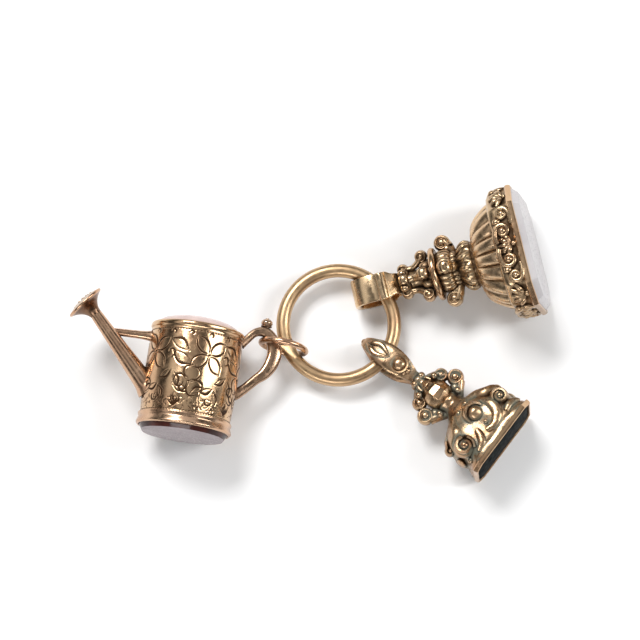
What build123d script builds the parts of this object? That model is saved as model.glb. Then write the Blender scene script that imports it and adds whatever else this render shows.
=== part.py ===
"""A pocket watch fob: a split ring with a watering can charm and two seals hanging from it.

Millimetres, +Z up. The fob lies on a table at Z = 0, the can to the left (-X) and the seals to the right.
The origin is on the table under the middle of the fob.
"""

from build123d import *
from math import asin, atan2, cos, degrees, hypot, pi, radians, sin
import os

os.makedirs("parts", exist_ok=True)

# Split ring
ring_outside = 22.0
ring_wire = 2.4
ring_x = 4.62
ring_y = 2.35
coil_gap = 0.1
crossover_angle = 199.5
crossover_turn = 19.0
crossover_gap_turn = 2.5
crossover_fill_share = 0.9
climb_steps = 4
ring_radius = (ring_outside - ring_wire) / 2

# Large seal, from the ring's wire to the face of its stone
large_ring_angle = 41.2
large_heading = 12.7
large_bail_height = 6.0
large_bail_width = 4.8
large_bail_neck_width = 3.7
large_bail_wall = 0.95
large_bail_lift = 0.42
large_bail_behind = 4.95
large_hole_ahead = 3.25
large_collar_start = 3.85
large_collar_height = 2.05
large_collar_core_radius = 2.1
large_bead_radius = 1.0
large_bead_count = 7
large_neck_height = 1.6
large_neck_radius = 1.9
large_upper_height = 2.4
large_upper_radius = 2.3
large_scroll_ball_radius = 1.0
large_scroll_reach = 3.9
large_scroll_count = 5
large_scroll_turn = 18.0
large_disc_radius = 4.75
large_disc_height = 1.1
large_lower_height = 3.3
large_lower_radius = 3.6
large_volute_radius = 1.5
large_volute_reach = 5.2
large_volute_rise = 4.4
large_volute_width = 2.2
large_volute_eye_radius = 0.65
large_lobe_radius = 1.15
large_lobe_count = 8
large_waist_radius = 3.0
large_knop_height = 3.2
large_knop_radius = 4.25
large_knop_leaf_count = 12
large_leaf_depth_share = 0.08
large_dome_height = 5.2
large_dome_wall = 0.8
large_gadroon_count = 18
large_gadroon_depth_share = 0.07
large_border_height = 3.5
large_bezel_height = 1.0
large_face_width = 21.8
large_face_height = 18.9
large_face_cut = 3.6
large_bezel_wall = 0.55
large_stone_rise = 1.05
large_stone_bevel = 1.0

# Small seal
small_ring_angle = -35.2
small_heading = -37.3
small_bail_width = 4.5
small_bail_height = 5.8
small_bail_behind = 4.7
small_bail_ahead = 7.4
small_bail_end_width = 1.7
small_hole_behind = 2.4
small_hole_ahead = 5.2
small_hole_height = 3.7
small_boss_radius = 1.75
small_boss_rise = 0.7
small_boss_place = 3.4
small_tip_ball_radius = 0.55
small_knuckle_height = 2.0
small_knuckle_radius = 1.7
small_knuckle_ball_radius = 0.75
small_knuckle_ball_count = 4
small_knop_height = 4.2
small_knop_radius = 2.65
small_knop_facets = 8
small_cluster_inner_radius = 1.15
small_cluster_outer_radius = 1.4
small_cluster_inner_reach = 3.2
small_cluster_outer_reach = 4.4
small_cluster_spread = 2.1
small_waist_height = 2.2
small_waist_radius = 1.95
small_waist_flare_radius = 2.5
small_body_height = 9.5
small_body_wall = 0.7
small_bezel_height = 0.9
small_face_width = 15.5
small_face_height = 12.4
small_face_cut = 1.6
small_bezel_wall = 0.5
small_stone_rise = 0.3
small_stone_bevel = 0.3
small_roundel_radius = 1.35
small_corner_scroll_radius = 1.7

# Stones and the plates behind them
stone_gap = 0.05
plate_thickness = 0.6

# Watering can: its mouth's place from the ring's middle, with heights from its base and drops from its mouth
can_mouth_x = -24.46
can_mouth_y = -1.68
can_heading = 81.9
can_roll = 11.0
can_length = 18.0
can_base_radius = 8.35
can_top_radius = 8.2
can_foot_radius = 7.85
can_belly_radius = 8.15
can_mouth_radius = 8.0
can_wall = 0.7
can_base_height = 2.1
can_top_height = 1.5
can_base_stone_radius = 7.7
can_base_face_radius = 7.0
can_base_stone_rise = 1.1
can_top_stone_radius = 7.2
can_top_stone_rise = 1.9
can_lip_chamfer = 0.35
can_ledge = 0.6

spout_root_height = 6.4
spout_root_radius = 1.7
spout_tip_x = -18.0
spout_tip_drop = 0.55
spout_tip_radius = 1.0
spout_bore_wall = 0.4
rose_turn = 8.0
rose_length = 2.6
rose_radius = 3.5
rose_wall = 0.4
rose_rim = 0.45
rose_neck = 0.3
rose_plate_rise = 0.55
rose_plate_thickness = 0.35
brace_radius = 0.6
brace_drop = 2.65
brace_end_x = -13.6
brace_end_drop = 3.0

handle_outer_x = 13.8
handle_outer_drop = 1.8
handle_top_rise = 1.6
handle_top_x = 11.7
handle_shoulder_x = 9.8
handle_shoulder_rise = 1.1
handle_upper_root_drop = 1.1
handle_lower_root_drop = 10.4
handle_elbow_x = 13.3
handle_elbow_drop = 4.6
handle_bar_x = 11.3
handle_bar_drop = 7.0
handle_belly_width = 2.0
handle_depth = 1.9
handle_end_width = 1.5
handle_round = 0.55
knob_radius = 1.05
knob_x = 11.75
knob_rise = 1.4
knob_neck_radius = 0.7

# Jump ring between the split ring and the can's handle
link_outside = 9.0
link_wire = 1.1
link_x = -9.72
link_y = -4.1
link_heading = -12.3
link_lean = 4.0

# Small clearances that the pieces share
overrun = 1.0
root_sink = 0.4

# Shapes that several pieces share, as shares of the sizes that they follow
inner_cut_share = 0.586
bracket_rib_share = 0.7
large_knop_peak_share = 0.62
large_knop_end_share = 0.97
large_border_share = 0.885
dome_round_share = 0.13
flare_share = 0.25
flare_rise_share = 0.55
knop_end_share = 0.72
boss_ring_share = 0.86
roundel_place_share = 0.34
roundel_height_share = 0.38
corner_place_share = 0.4
corner_rise_share = 0.32
corner_height_share = 0.55
body_end_share = 0.985
body_end_squareness = 4.0
dome_outline_shares = (
    (0.0, 0.46, 2.0),
    (0.12, 0.64, 2.1),
    (0.4, 0.83, 2.4),
    (1.0, 1.0, 2.9),
)
body_outline_shares = (
    (0.0, 0.32, 0.38, 2.0),
    (0.14, 0.6, 0.6, 2.2),
    (0.34, 0.92, 0.85, 2.8),
    (0.62, 1.0, 0.92, 3.4),
    (1.0, 0.985, 0.985, 4.0),
)

# Places that follow from the sizes above
ring_height = large_bail_height / 2 + large_bail_lift
link_radius = (link_outside - link_wire) / 2
large_neck_start = large_collar_start + large_collar_height
large_upper_start = large_neck_start + large_neck_height
large_disc_start = large_upper_start + large_upper_height
large_lower_start = large_disc_start + large_disc_height
large_knop_start = large_lower_start + large_lower_height
large_dome_start = large_knop_start + large_knop_height
large_border_start = large_dome_start + large_dome_height
large_bezel_start = large_border_start + large_border_height
small_knuckle_start = small_bail_ahead
small_knop_start = small_knuckle_start + small_knuckle_height
small_waist_start = small_knop_start + small_knop_height
small_body_start = small_waist_start + small_waist_height
small_bezel_start = small_body_start + small_body_height
spout_tip_height = can_length - spout_tip_drop
brace_height = can_length - brace_drop
brace_end_height = can_length - brace_end_drop
handle_top_height = can_length + handle_top_rise
knob_height = handle_top_height + knob_rise


def resting_tilt(length, half_height):
    """Returns the tilt at which a seal's rim meets the table while its bail holds the ring's height."""
    span = hypot(length, half_height)
    return degrees(atan2(half_height, length) - asin(ring_height / span))


def seal_frame(ring_angle, heading, tilt):
    """Returns a seal's plane: its origin on the ring's wire, its normal along the seal to the stone."""
    turn = radians(ring_angle)
    way = radians(heading)
    rise = radians(tilt)
    return Plane(
        origin=(ring_x + ring_radius * cos(turn), ring_y + ring_radius * sin(turn), ring_height),
        x_dir=(-sin(way), cos(way), 0),
        z_dir=(cos(way) * cos(rise), sin(way) * cos(rise), sin(rise)),
    )


def side_of(frame):
    """Returns the plane through a frame's axis, with radii along its X and heights along its Y."""
    return Plane(origin=frame.origin, x_dir=frame.x_dir, z_dir=-frame.y_dir)


def axis_of(frame):
    """Returns the axis along a frame's normal."""
    return Axis(frame.origin, frame.z_dir)


def spot(frame, across, up, along):
    """Returns the point at local coordinates of a frame."""
    return frame.from_local_coords(Vector(across, up, along))


class Turned(BasePartObject):
    """The solid that a closed outline of (radius, height) points makes round Z."""

    def __init__(self, *outline, mode=Mode.ADD):
        with BuildPart() as turned:
            with BuildSketch(Plane.XZ):
                with BuildLine():
                    Polyline(*outline, close=True)
                make_face()
            revolve(axis=Axis.Z)
        super().__init__(turned.part, mode=mode)


class DomedDisc(BasePartObject):
    """A disc that stands on its plane, with a low dome on top."""

    def __init__(self, radius, thickness, rise, mode=Mode.ADD):
        dome_radius = (radius**2 + rise**2) / (2 * rise)
        with BuildPart() as disc:
            Cylinder(radius, thickness + rise, align=(Align.CENTER, Align.CENTER, Align.MIN))
            with Locations((0, 0, thickness + rise - dome_radius)):
                Sphere(dome_radius, mode=Mode.INTERSECT)
        super().__init__(disc.part, mode=mode)


class CutCorners(BaseSketchObject):
    """A rectangle with its four corners cut at 45 degrees."""

    def __init__(self, width, height, cut, mode=Mode.ADD):
        with BuildSketch() as plate:
            Rectangle(width, height)
            chamfer(plate.vertices(), length=cut)
        super().__init__(plate.sketch, mode=mode)


class Lobed(BaseSketchObject):
    """A rounded outline between an ellipse and a rectangle, with lobes round it where asked for."""

    def __init__(self, width, height, squareness, lobes=0, depth_share=0.0, mode=Mode.ADD):
        steps = 4 * lobes if lobes else 32
        points = []
        for step in range(steps):
            turn = 2 * pi * step / steps
            across = abs(cos(turn)) ** (2 / squareness) * (1 if cos(turn) >= 0 else -1)
            up = abs(sin(turn)) ** (2 / squareness) * (1 if sin(turn) >= 0 else -1)
            shrink = 1 - depth_share * (1 - cos(lobes * turn)) / 2
            points.append((width / 2 * across * shrink, height / 2 * up * shrink))
        with BuildSketch() as outline:
            with BuildLine():
                Spline(*points, periodic=True)
            make_face()
        super().__init__(outline.sketch, mode=mode)


class HalfRound(BaseSketchObject):
    """The section of one coil of the split ring: side is 1 for the upper coil and -1 for the lower."""

    def __init__(self, side, mode=Mode.ADD):
        with BuildSketch() as section:
            Ellipse(ring_wire / 2, ring_wire / 2)
            with Locations((0, side * (coil_gap + ring_wire) / 2)):
                Rectangle(2 * ring_wire, ring_wire, mode=Mode.INTERSECT)
        super().__init__(section.sketch, mode=mode)


class CornerFrame(BasePartObject):
    """The rim round a stone: a frame with cut corners that stands on its plane."""

    def __init__(self, width, tall, cut, wall, height, mode=Mode.ADD):
        with BuildPart() as rim:
            with BuildSketch():
                CutCorners(width, tall, cut)
                inner_cut = cut - wall * inner_cut_share
                CutCorners(width - 2 * wall, tall - 2 * wall, inner_cut, mode=Mode.SUBTRACT)
            extrude(amount=height)
        super().__init__(rim.part, mode=mode)


class SealStone(BasePartObject):
    """A slab with cut corners, bevelled up to the flat face."""

    def __init__(self, width, tall, cut, seat, rise, bevel, mode=Mode.ADD):
        with BuildPart() as stone:
            with BuildSketch():
                CutCorners(width, tall, cut)
            extrude(amount=seat)
            with BuildSketch(Plane.XY.offset(seat)):
                CutCorners(width, tall, cut)
            with BuildSketch(Plane.XY.offset(seat + rise)):
                CutCorners(width - 2 * bevel, tall - 2 * bevel, cut - bevel * inner_cut_share)
            loft(ruled=True)
        super().__init__(stone.part, mode=mode)


class ScrollBracket(BasePartObject):
    """A rib that stands out along X, with a ball at its shoulder."""

    def __init__(self, reach, height, inner_radius, ball_radius, mode=Mode.ADD):
        with BuildPart() as bracket:
            with BuildSketch(Plane.XZ):
                with BuildLine():
                    Polyline(
                        (inner_radius, 0),
                        (reach, ball_radius / 2),
                        (reach + ball_radius / 2, height),
                        (inner_radius, height),
                        close=True,
                    )
                make_face()
            extrude(amount=ball_radius * bracket_rib_share, both=True)
            with Locations((reach, 0, ball_radius)):
                Sphere(ball_radius)
        super().__init__(bracket.part, mode=mode)


class Volute(BasePartObject):
    """A bracket along X that ends in a rolled scroll, with a round eye on each side of the roll."""

    def __init__(self, reach, height, root_radius, roll_radius, width, eye_radius, mode=Mode.ADD):
        with BuildPart() as volute:
            with BuildSketch(Plane.XZ):
                with Locations((reach, roll_radius)):
                    Circle(roll_radius)
                with BuildLine():
                    Polyline(
                        (0, 0),
                        (reach, 0),
                        (reach + roll_radius, roll_radius),
                        (root_radius, height),
                        (0, height),
                        close=True,
                    )
                make_face()
            extrude(amount=width / 2, both=True)
            with Locations((reach, width / 2, roll_radius), (reach, -width / 2, roll_radius)):
                Sphere(eye_radius, rotation=(90, 0, 0))
        super().__init__(volute.part, mode=mode)


def finish(piece, name):
    """Labels a finished piece and writes its STEP file."""
    piece.part.label = name
    export_step(piece.part, f"parts/{name}.step")


# Split ring: two half-round coils, flats together, joined where the wire climbs from one to the other
ring = Plane(origin=(ring_x, ring_y, ring_height))
coil_height = (ring_wire - coil_gap) / 2


def ring_section(turn):
    """Returns the plane across the ring's wire at an angle, with X outward and Y up."""
    way = radians(turn)
    return Plane(
        origin=(ring_x + ring_radius * cos(way), ring_y + ring_radius * sin(way), ring_height),
        x_dir=(cos(way), sin(way), 0),
        z_dir=(sin(way), -cos(way), 0),
    )


with BuildPart() as split_ring:
    climb_end = crossover_angle + crossover_turn
    coil_turn = 360 - crossover_turn - crossover_gap_turn
    with BuildSketch(ring_section(climb_end + crossover_gap_turn)):
        HalfRound(-1)
    revolve(axis=axis_of(ring), revolution_arc=coil_turn)
    with BuildSketch(ring_section(climb_end)):
        HalfRound(1)
    revolve(axis=axis_of(ring), revolution_arc=coil_turn)
    for step in range(climb_steps + 1):
        climb_share = step / climb_steps
        with BuildSketch(ring_section(crossover_angle + crossover_turn * climb_share)):
            with Locations((0, (coil_gap + coil_height) / 2 * -cos(pi * climb_share))):
                Ellipse(ring_wire / 2 * crossover_fill_share, coil_height / 2)
    loft()
finish(split_ring, "split_ring")

# Jump ring
link_way = radians(link_heading)
link_tip = radians(link_lean)
link = Plane(
    origin=(ring_x + link_x, ring_y + link_y, link_radius * cos(link_tip) + link_wire / 2),
    x_dir=(cos(link_way), sin(link_way), 0),
    z_dir=(-sin(link_way) * cos(link_tip), cos(link_way) * cos(link_tip), sin(link_tip)),
)
with BuildPart(link) as jump_ring:
    Torus(link_radius, link_wire / 2)
finish(jump_ring, "jump_ring")

# Large seal
large_tilt = resting_tilt(large_bezel_start, large_face_height / 2)
large = seal_frame(large_ring_angle, large_heading, large_tilt)
large_edge = Plane(origin=large.origin, x_dir=large.z_dir, z_dir=large.x_dir)
large_plan = Plane(origin=large.origin, x_dir=large.z_dir, z_dir=-large.y_dir)

# Its bail is a loop seen edge-on from above, with its sides drawn in to the neck
with BuildPart() as large_bail:
    loop_ahead = large_hole_ahead + large_bail_wall
    with BuildSketch(large_edge):
        with Locations(((loop_ahead - large_bail_behind) / 2, 0)):
            loop = SlotOverall(large_bail_behind + loop_ahead, large_bail_height)
            offset(loop, amount=-large_bail_wall, mode=Mode.SUBTRACT)
    extrude(amount=large_bail_width / 2, both=True)
    with BuildSketch(large_plan):
        with BuildLine() as half_plan:
            Polyline(
                (large_collar_start, 0),
                (large_collar_start, large_bail_neck_width / 2),
                (large_hole_ahead, large_bail_neck_width / 2),
                (large_hole_ahead / 2, large_bail_width / 2),
                (-large_bail_behind - overrun, large_bail_width / 2),
                (-large_bail_behind - overrun, 0),
            )
            mirror(half_plan.line, about=Plane.XZ)
        make_face()
    extrude(amount=large_bail_height, both=True, mode=Mode.INTERSECT)
finish(large_bail, "large_bail")

with BuildPart(large) as large_bead_collar:
    collar_middle = large_collar_start + large_collar_height / 2
    with Locations((0, 0, collar_middle)):
        Cylinder(large_collar_core_radius, large_collar_height)
        with PolarLocations(large_collar_core_radius + large_bead_radius / 3, large_bead_count):
            Sphere(large_bead_radius)
finish(large_bead_collar, "large_bead_collar")

# The stem is the spool from the bead collar to the disc
with BuildPart() as large_stem:
    with BuildSketch(side_of(large)):
        with BuildLine():
            Line((0, large_neck_start), (large_collar_core_radius, large_neck_start))
            ThreePointArc(
                (large_collar_core_radius, large_neck_start),
                (large_neck_radius, large_neck_start + large_neck_height / 2),
                (large_upper_radius, large_upper_start),
            )
            Line((large_upper_radius, large_upper_start), (large_upper_radius, large_disc_start))
            Line((large_upper_radius, large_disc_start), (0, large_disc_start))
            Line((0, large_disc_start), (0, large_neck_start))
        make_face()
    revolve(axis=axis_of(large))
finish(large_stem, "large_stem")

with BuildPart(large) as large_upper_scrolls:
    with Locations((0, 0, large_upper_start)):
        with PolarLocations(0, large_scroll_count, start_angle=large_scroll_turn):
            ScrollBracket(
                large_scroll_reach,
                large_upper_height,
                large_upper_radius / 2,
                large_scroll_ball_radius,
            )
    with Locations((0, 0, large_upper_start + large_upper_height / 2)):
        Cylinder(large_upper_radius, large_upper_height, mode=Mode.SUBTRACT)
finish(large_upper_scrolls, "large_upper_scrolls")

with BuildPart() as large_disc_collar:
    with BuildSketch(large.offset(large_disc_start)):
        Circle(large_disc_radius)
    extrude(amount=large_disc_height)
    fillet(large_disc_collar.edges(), radius=large_disc_height / 3)
finish(large_disc_collar, "large_disc_collar")

# Lower scrolls: a tapered core with volutes round it and lobes between them
with BuildPart(large) as large_lower_scrolls:
    Turned(
        (0, large_lower_start),
        (large_lower_radius, large_lower_start),
        (large_waist_radius, large_knop_start),
        (0, large_knop_start),
    )
    with Locations((0, 0, large_lower_start)):
        for turn, reach in zip((0, 90, 180, 270), (large_volute_reach, large_volute_rise) * 2):
            with Locations(Location((0, 0, 0), (0, 0, turn))):
                Volute(
                    reach,
                    large_lower_height,
                    large_waist_radius,
                    large_volute_radius,
                    large_volute_width,
                    large_volute_eye_radius,
                )
    with Locations((0, 0, large_lower_start + large_lobe_radius)):
        with PolarLocations(large_lower_radius, large_lobe_count, start_angle=180 / large_lobe_count):
            Sphere(large_lobe_radius, rotation=(90, 0, 0))
finish(large_lower_scrolls, "large_lower_scrolls")

# Leaf knop: a bulb with shallow leaves round it
with BuildPart() as large_leaf_knop:
    for place, radius in (
        (large_knop_start, large_waist_radius),
        (large_knop_start + large_knop_height * large_knop_peak_share, large_knop_radius),
        (large_dome_start, large_knop_radius * large_knop_end_share),
    ):
        with BuildSketch(large.offset(place)):
            Lobed(2 * radius, 2 * radius, 2, large_knop_leaf_count, large_leaf_depth_share)
    loft()
finish(large_leaf_knop, "large_leaf_knop")

# Gadrooned dome: round at the knop, squared at the border, hollow inside
border_width = large_face_width * large_border_share
border_tall = large_face_height * large_border_share
with BuildPart() as large_gadroon_dome:
    for place_share, width_share, squareness in dome_outline_shares:
        with BuildSketch(large.offset(large_dome_start + large_dome_height * place_share)):
            Lobed(
                border_width * width_share,
                border_tall * (width_share + (1 - width_share) * dome_round_share),
                squareness,
                large_gadroon_count,
                large_gadroon_depth_share,
            )
    loft()
    hollow_height = large_dome_height - large_dome_wall
    for place_share, width_share, squareness in dome_outline_shares:
        with BuildSketch(large.offset(large_border_start - hollow_height * (1 - place_share))):
            Lobed(
                border_width * width_share - 3 * large_dome_wall,
                border_tall * (width_share + (1 - width_share) * dome_round_share) - 3 * large_dome_wall,
                squareness,
            )
    loft(mode=Mode.SUBTRACT)
finish(large_gadroon_dome, "large_gadroon_dome")

large_cut_share = large_face_cut / large_face_height
large_hollow_width = border_width - 3 * large_dome_wall
large_hollow_tall = border_tall - 3 * large_dome_wall
large_hollow_cut = large_face_cut - large_dome_wall * inner_cut_share
with BuildPart(large) as large_scroll_border:
    with BuildSketch(large.offset(large_border_start)):
        CutCorners(border_width, border_tall, border_tall * large_cut_share)
    with BuildSketch(large.offset(large_bezel_start)):
        CutCorners(
            large_face_width - large_bezel_wall,
            large_face_height - large_bezel_wall,
            large_face_cut,
        )
    loft(ruled=True)
    with BuildSketch(large.offset(large_border_start)):
        CutCorners(large_hollow_width, large_hollow_tall, large_hollow_cut)
    extrude(amount=large_border_height, mode=Mode.SUBTRACT)
finish(large_scroll_border, "large_scroll_border")

with BuildPart(large.offset(large_bezel_start)) as large_bezel:
    CornerFrame(large_face_width, large_face_height, large_face_cut, large_bezel_wall, large_bezel_height)
finish(large_bezel, "large_bezel")

large_stone_inset = large_bezel_wall + stone_gap
with BuildPart(large.offset(large_bezel_start)) as large_seal_stone:
    SealStone(
        large_face_width - 2 * large_stone_inset,
        large_face_height - 2 * large_stone_inset,
        large_face_cut - large_stone_inset * inner_cut_share,
        large_bezel_height,
        large_stone_rise,
        large_stone_bevel,
    )
finish(large_seal_stone, "large_seal_stone")

with BuildPart() as large_backing_plate:
    with BuildSketch(large.offset(large_bezel_start)):
        CutCorners(
            large_hollow_width - 2 * stone_gap,
            large_hollow_tall - 2 * stone_gap,
            large_hollow_cut - stone_gap * inner_cut_share,
        )
    extrude(amount=-plate_thickness)
finish(large_backing_plate, "large_backing_plate")

# Small seal
small_tilt = resting_tilt(small_bezel_start, small_face_height / 2)
small = seal_frame(small_ring_angle, small_heading, small_tilt)
small_edge = Plane(origin=small.origin, x_dir=small.z_dir, z_dir=small.x_dir)
small_plan = Plane(origin=small.origin, x_dir=small.z_dir, z_dir=-small.y_dir)
small_bail_middle = (small_bail_ahead - small_bail_behind) / 2

# Its bail is a loop whose band is a pointed oval seen from above, with a stub down to the knuckle
with BuildPart() as small_bail:
    with BuildSketch(small_edge):
        with Locations((small_bail_middle, 0)):
            Ellipse((small_bail_ahead + small_bail_behind) / 2, small_bail_height / 2)
        with Locations(((small_hole_ahead - small_hole_behind) / 2, 0)):
            SlotOverall(small_hole_ahead + small_hole_behind, small_hole_height, mode=Mode.SUBTRACT)
    extrude(amount=small_bail_width / 2, both=True)
    with BuildSketch(small_plan):
        with BuildLine() as half_oval:
            Line((-small_bail_behind, 0), (-small_bail_behind, small_bail_end_width / 2))
            ThreePointArc(
                (-small_bail_behind, small_bail_end_width / 2),
                (small_bail_middle, small_bail_width / 2),
                (small_bail_ahead, small_bail_end_width / 2),
            )
            Line((small_bail_ahead, small_bail_end_width / 2), (small_bail_ahead, 0))
            mirror(half_oval.line, about=Plane.XZ)
        make_face()
    extrude(amount=small_bail_height, both=True, mode=Mode.INTERSECT)
    with BuildSketch(small.offset(small_bail_ahead)):
        Circle(small_bail_end_width / 2)
    extrude(amount=-(small_bail_ahead - small_hole_ahead) / 2)
finish(small_bail, "small_bail")

# Bosses on the bail: a ringed dome above and below, and a ball at the tip
with BuildPart() as small_bail_bosses:
    with Locations(small):
        for side in (-1, 1):
            with Locations((0, side * small_bail_height / 2, small_boss_place)):
                Sphere(small_boss_radius)
        with Locations((0, 0, 2 * small_tip_ball_radius - small_bail_behind)):
            Sphere(2 * small_tip_ball_radius)
    with BuildSketch(small_plan):
        with Locations((small_boss_place, 0)):
            Circle(small_boss_radius * boss_ring_share)
        with Locations((2 * small_tip_ball_radius - small_bail_behind, 0)):
            Circle(2 * small_tip_ball_radius)
    extrude(amount=small_bail_height / 2 + small_boss_rise, both=True, mode=Mode.INTERSECT)
    add(small_bail.part, mode=Mode.SUBTRACT)
    with BuildSketch(small_edge):
        with Locations(((small_hole_ahead - small_hole_behind) / 2, 0)):
            SlotOverall(small_hole_ahead + small_hole_behind, small_hole_height)
    extrude(amount=small_bail_width, both=True, mode=Mode.SUBTRACT)
finish(small_bail_bosses, "small_bail_bosses")

with BuildPart(small) as small_knuckle:
    with Locations((0, 0, small_knuckle_start + small_knuckle_height / 2)):
        Cylinder(small_knuckle_radius, small_knuckle_height)
        with PolarLocations(small_knuckle_radius, small_knuckle_ball_count, start_angle=45):
            Sphere(small_knuckle_ball_radius)
finish(small_knuckle, "small_knuckle")

# Faceted knop: two pyramids base to base, cut off at their ends
with BuildPart() as small_faceted_knop:
    knop_middle = small_knop_start + small_knop_height / 2
    for far_end in (small_knop_start, small_waist_start):
        with BuildSketch(small.offset(far_end)):
            RegularPolygon(small_knop_radius * knop_end_share, small_knop_facets)
        with BuildSketch(small.offset(knop_middle)):
            RegularPolygon(small_knop_radius, small_knop_facets)
        loft(ruled=True)
finish(small_faceted_knop, "small_faceted_knop")

# Side scrolls: on each side of the knop two balls on a flat arm, one behind the other
with BuildPart() as small_side_scrolls:
    arm_middle = knop_middle - small_cluster_spread / 2
    with BuildSketch(Plane(origin=spot(small, 0, 0, arm_middle), x_dir=small.z_dir, z_dir=small.x_dir)):
        Rectangle(small_cluster_spread - small_cluster_inner_radius / 2, small_cluster_inner_radius)
    extrude(amount=small_cluster_inner_reach, both=True)
    with Locations(small):
        for side in (-1, 1):
            with Locations((side * small_cluster_inner_reach, 0, knop_middle - small_cluster_spread)):
                Sphere(small_cluster_inner_radius, rotation=(90, 0, 0))
            with Locations((side * small_cluster_outer_reach, 0, knop_middle)):
                Sphere(small_cluster_outer_radius, rotation=(90, 0, 0))
    add(small_faceted_knop.part, mode=Mode.SUBTRACT)
finish(small_side_scrolls, "small_side_scrolls")

with BuildPart() as small_waist:
    with BuildSketch(side_of(small)):
        with BuildLine():
            Line((0, small_waist_start), (small_knop_radius * knop_end_share, small_waist_start))
            ThreePointArc(
                (small_knop_radius * knop_end_share, small_waist_start),
                (small_waist_radius, small_waist_start + small_waist_height / 2),
                (small_waist_flare_radius, small_body_start),
            )
            Line((small_waist_flare_radius, small_body_start), (0, small_body_start))
            Line((0, small_body_start), (0, small_waist_start))
        make_face()
    revolve(axis=axis_of(small))
finish(small_waist, "small_waist")

# Body: flares quickly from the waist to a squared bell, hollow inside
with BuildPart(small) as small_body:
    for place_share, width_share, tall_share, squareness in body_outline_shares:
        with BuildSketch(small.offset(small_body_start + small_body_height * place_share)):
            Lobed(
                small_face_width * width_share,
                small_face_height * tall_share,
                squareness,
            )
    loft()
    body_hollow_height = small_body_height - 2 * small_body_wall
    for place_share, width_share, tall_share, squareness in body_outline_shares[1:]:
        with BuildSketch(small.offset(small_bezel_start - body_hollow_height * (1 - place_share))):
            Lobed(
                small_face_width * width_share - 4 * small_body_wall,
                small_face_height * tall_share - 4 * small_body_wall,
                squareness,
            )
    loft(mode=Mode.SUBTRACT)
finish(small_body, "small_body")

# Bosses on the body: a roundel on each broad side and rolled scrolls at its four corners
with BuildPart() as small_scroll_bosses:
    roundel_place = small_body_start + small_body_height * roundel_height_share
    corner_place = small_body_start + small_body_height * corner_height_share
    with Locations(small):
        for side in (-1, 1):
            with Locations((0, side * small_face_height * roundel_place_share, roundel_place)):
                Sphere(small_roundel_radius)
            for other in (-1, 1):
                across = side * small_face_width * corner_place_share
                with Locations((across, other * small_face_height * corner_rise_share, corner_place)):
                    Sphere(small_corner_scroll_radius)
    add(small_body.part, mode=Mode.SUBTRACT)
    for place_share, width_share, tall_share, squareness in body_outline_shares:
        with BuildSketch(small.offset(small_body_start + small_body_height * place_share)):
            Lobed(
                small_face_width * width_share - small_body_wall,
                small_face_height * tall_share - small_body_wall,
                squareness,
            )
    loft(mode=Mode.SUBTRACT)
finish(small_scroll_bosses, "small_scroll_bosses")

with BuildPart(small.offset(small_bezel_start)) as small_bezel:
    CornerFrame(small_face_width, small_face_height, small_face_cut, small_bezel_wall, small_bezel_height)
finish(small_bezel, "small_bezel")

small_stone_inset = small_bezel_wall + stone_gap
with BuildPart(small.offset(small_bezel_start)) as small_seal_stone:
    SealStone(
        small_face_width - 2 * small_stone_inset,
        small_face_height - 2 * small_stone_inset,
        small_face_cut - small_stone_inset * inner_cut_share,
        small_bezel_height,
        small_stone_rise,
        small_stone_bevel,
    )
finish(small_seal_stone, "small_seal_stone")

with BuildPart() as small_backing_plate:
    with BuildSketch(small.offset(small_bezel_start)):
        Lobed(
            small_face_width * body_end_share - 4 * small_body_wall - 2 * stone_gap,
            small_face_height * body_end_share - 4 * small_body_wall - 2 * stone_gap,
            body_end_squareness,
        )
    extrude(amount=-plate_thickness)
    add(small_body.part, mode=Mode.SUBTRACT)
finish(small_backing_plate, "small_backing_plate")

# Watering can: lies on its side, with its normal from base to mouth and its X towards the handle
can_way = radians(can_heading)
can_dip = asin((can_base_radius - can_top_radius) / can_length)
can_axis = Vector(cos(can_way) * cos(can_dip), sin(can_way) * cos(can_dip), -sin(can_dip))
can_mouth = Vector(ring_x + can_mouth_x, ring_y + can_mouth_y, can_top_radius * cos(can_dip))
can_level = Plane(
    origin=can_mouth - can_axis * can_length,
    x_dir=(sin(can_way), -cos(can_way), 0),
    z_dir=can_axis,
)
can = Plane(can_level.location * Rotation(0, 0, can_roll))
can_barrel_top = can_length - can_top_height
barrel_middle = (can_base_height + can_barrel_top) / 2
can_side = side_of(can)

with BuildPart(can) as can_barrel:
    Turned(
        (can_foot_radius - can_wall, can_base_height),
        (can_foot_radius, can_base_height),
        (can_belly_radius, barrel_middle),
        (can_mouth_radius, can_barrel_top),
        (can_mouth_radius - can_wall, can_barrel_top),
        (can_belly_radius - can_wall, barrel_middle),
    )
finish(can_barrel, "can_barrel")

# Its bezels are rings with a ledge that the stone rests on
with BuildPart(can) as can_top_bezel:
    Turned(
        (can_mouth_radius - can_wall, can_barrel_top),
        (can_top_radius - can_lip_chamfer, can_barrel_top),
        (can_top_radius, can_barrel_top + can_lip_chamfer),
        (can_top_radius, can_length - can_lip_chamfer),
        (can_top_radius - can_lip_chamfer, can_length),
        (can_top_stone_radius + stone_gap, can_length),
        (can_top_stone_radius + stone_gap, can_barrel_top + plate_thickness),
        (can_mouth_radius - can_wall - can_ledge, can_barrel_top + plate_thickness),
        (can_mouth_radius - can_wall - can_ledge, can_barrel_top),
    )
finish(can_top_bezel, "can_top_bezel")

stone_floor = can_barrel_top + plate_thickness
with BuildPart(can.offset(stone_floor)) as can_top_stone:
    DomedDisc(can_top_stone_radius, can_length - stone_floor, can_top_stone_rise)
finish(can_top_stone, "can_top_stone")

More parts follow.
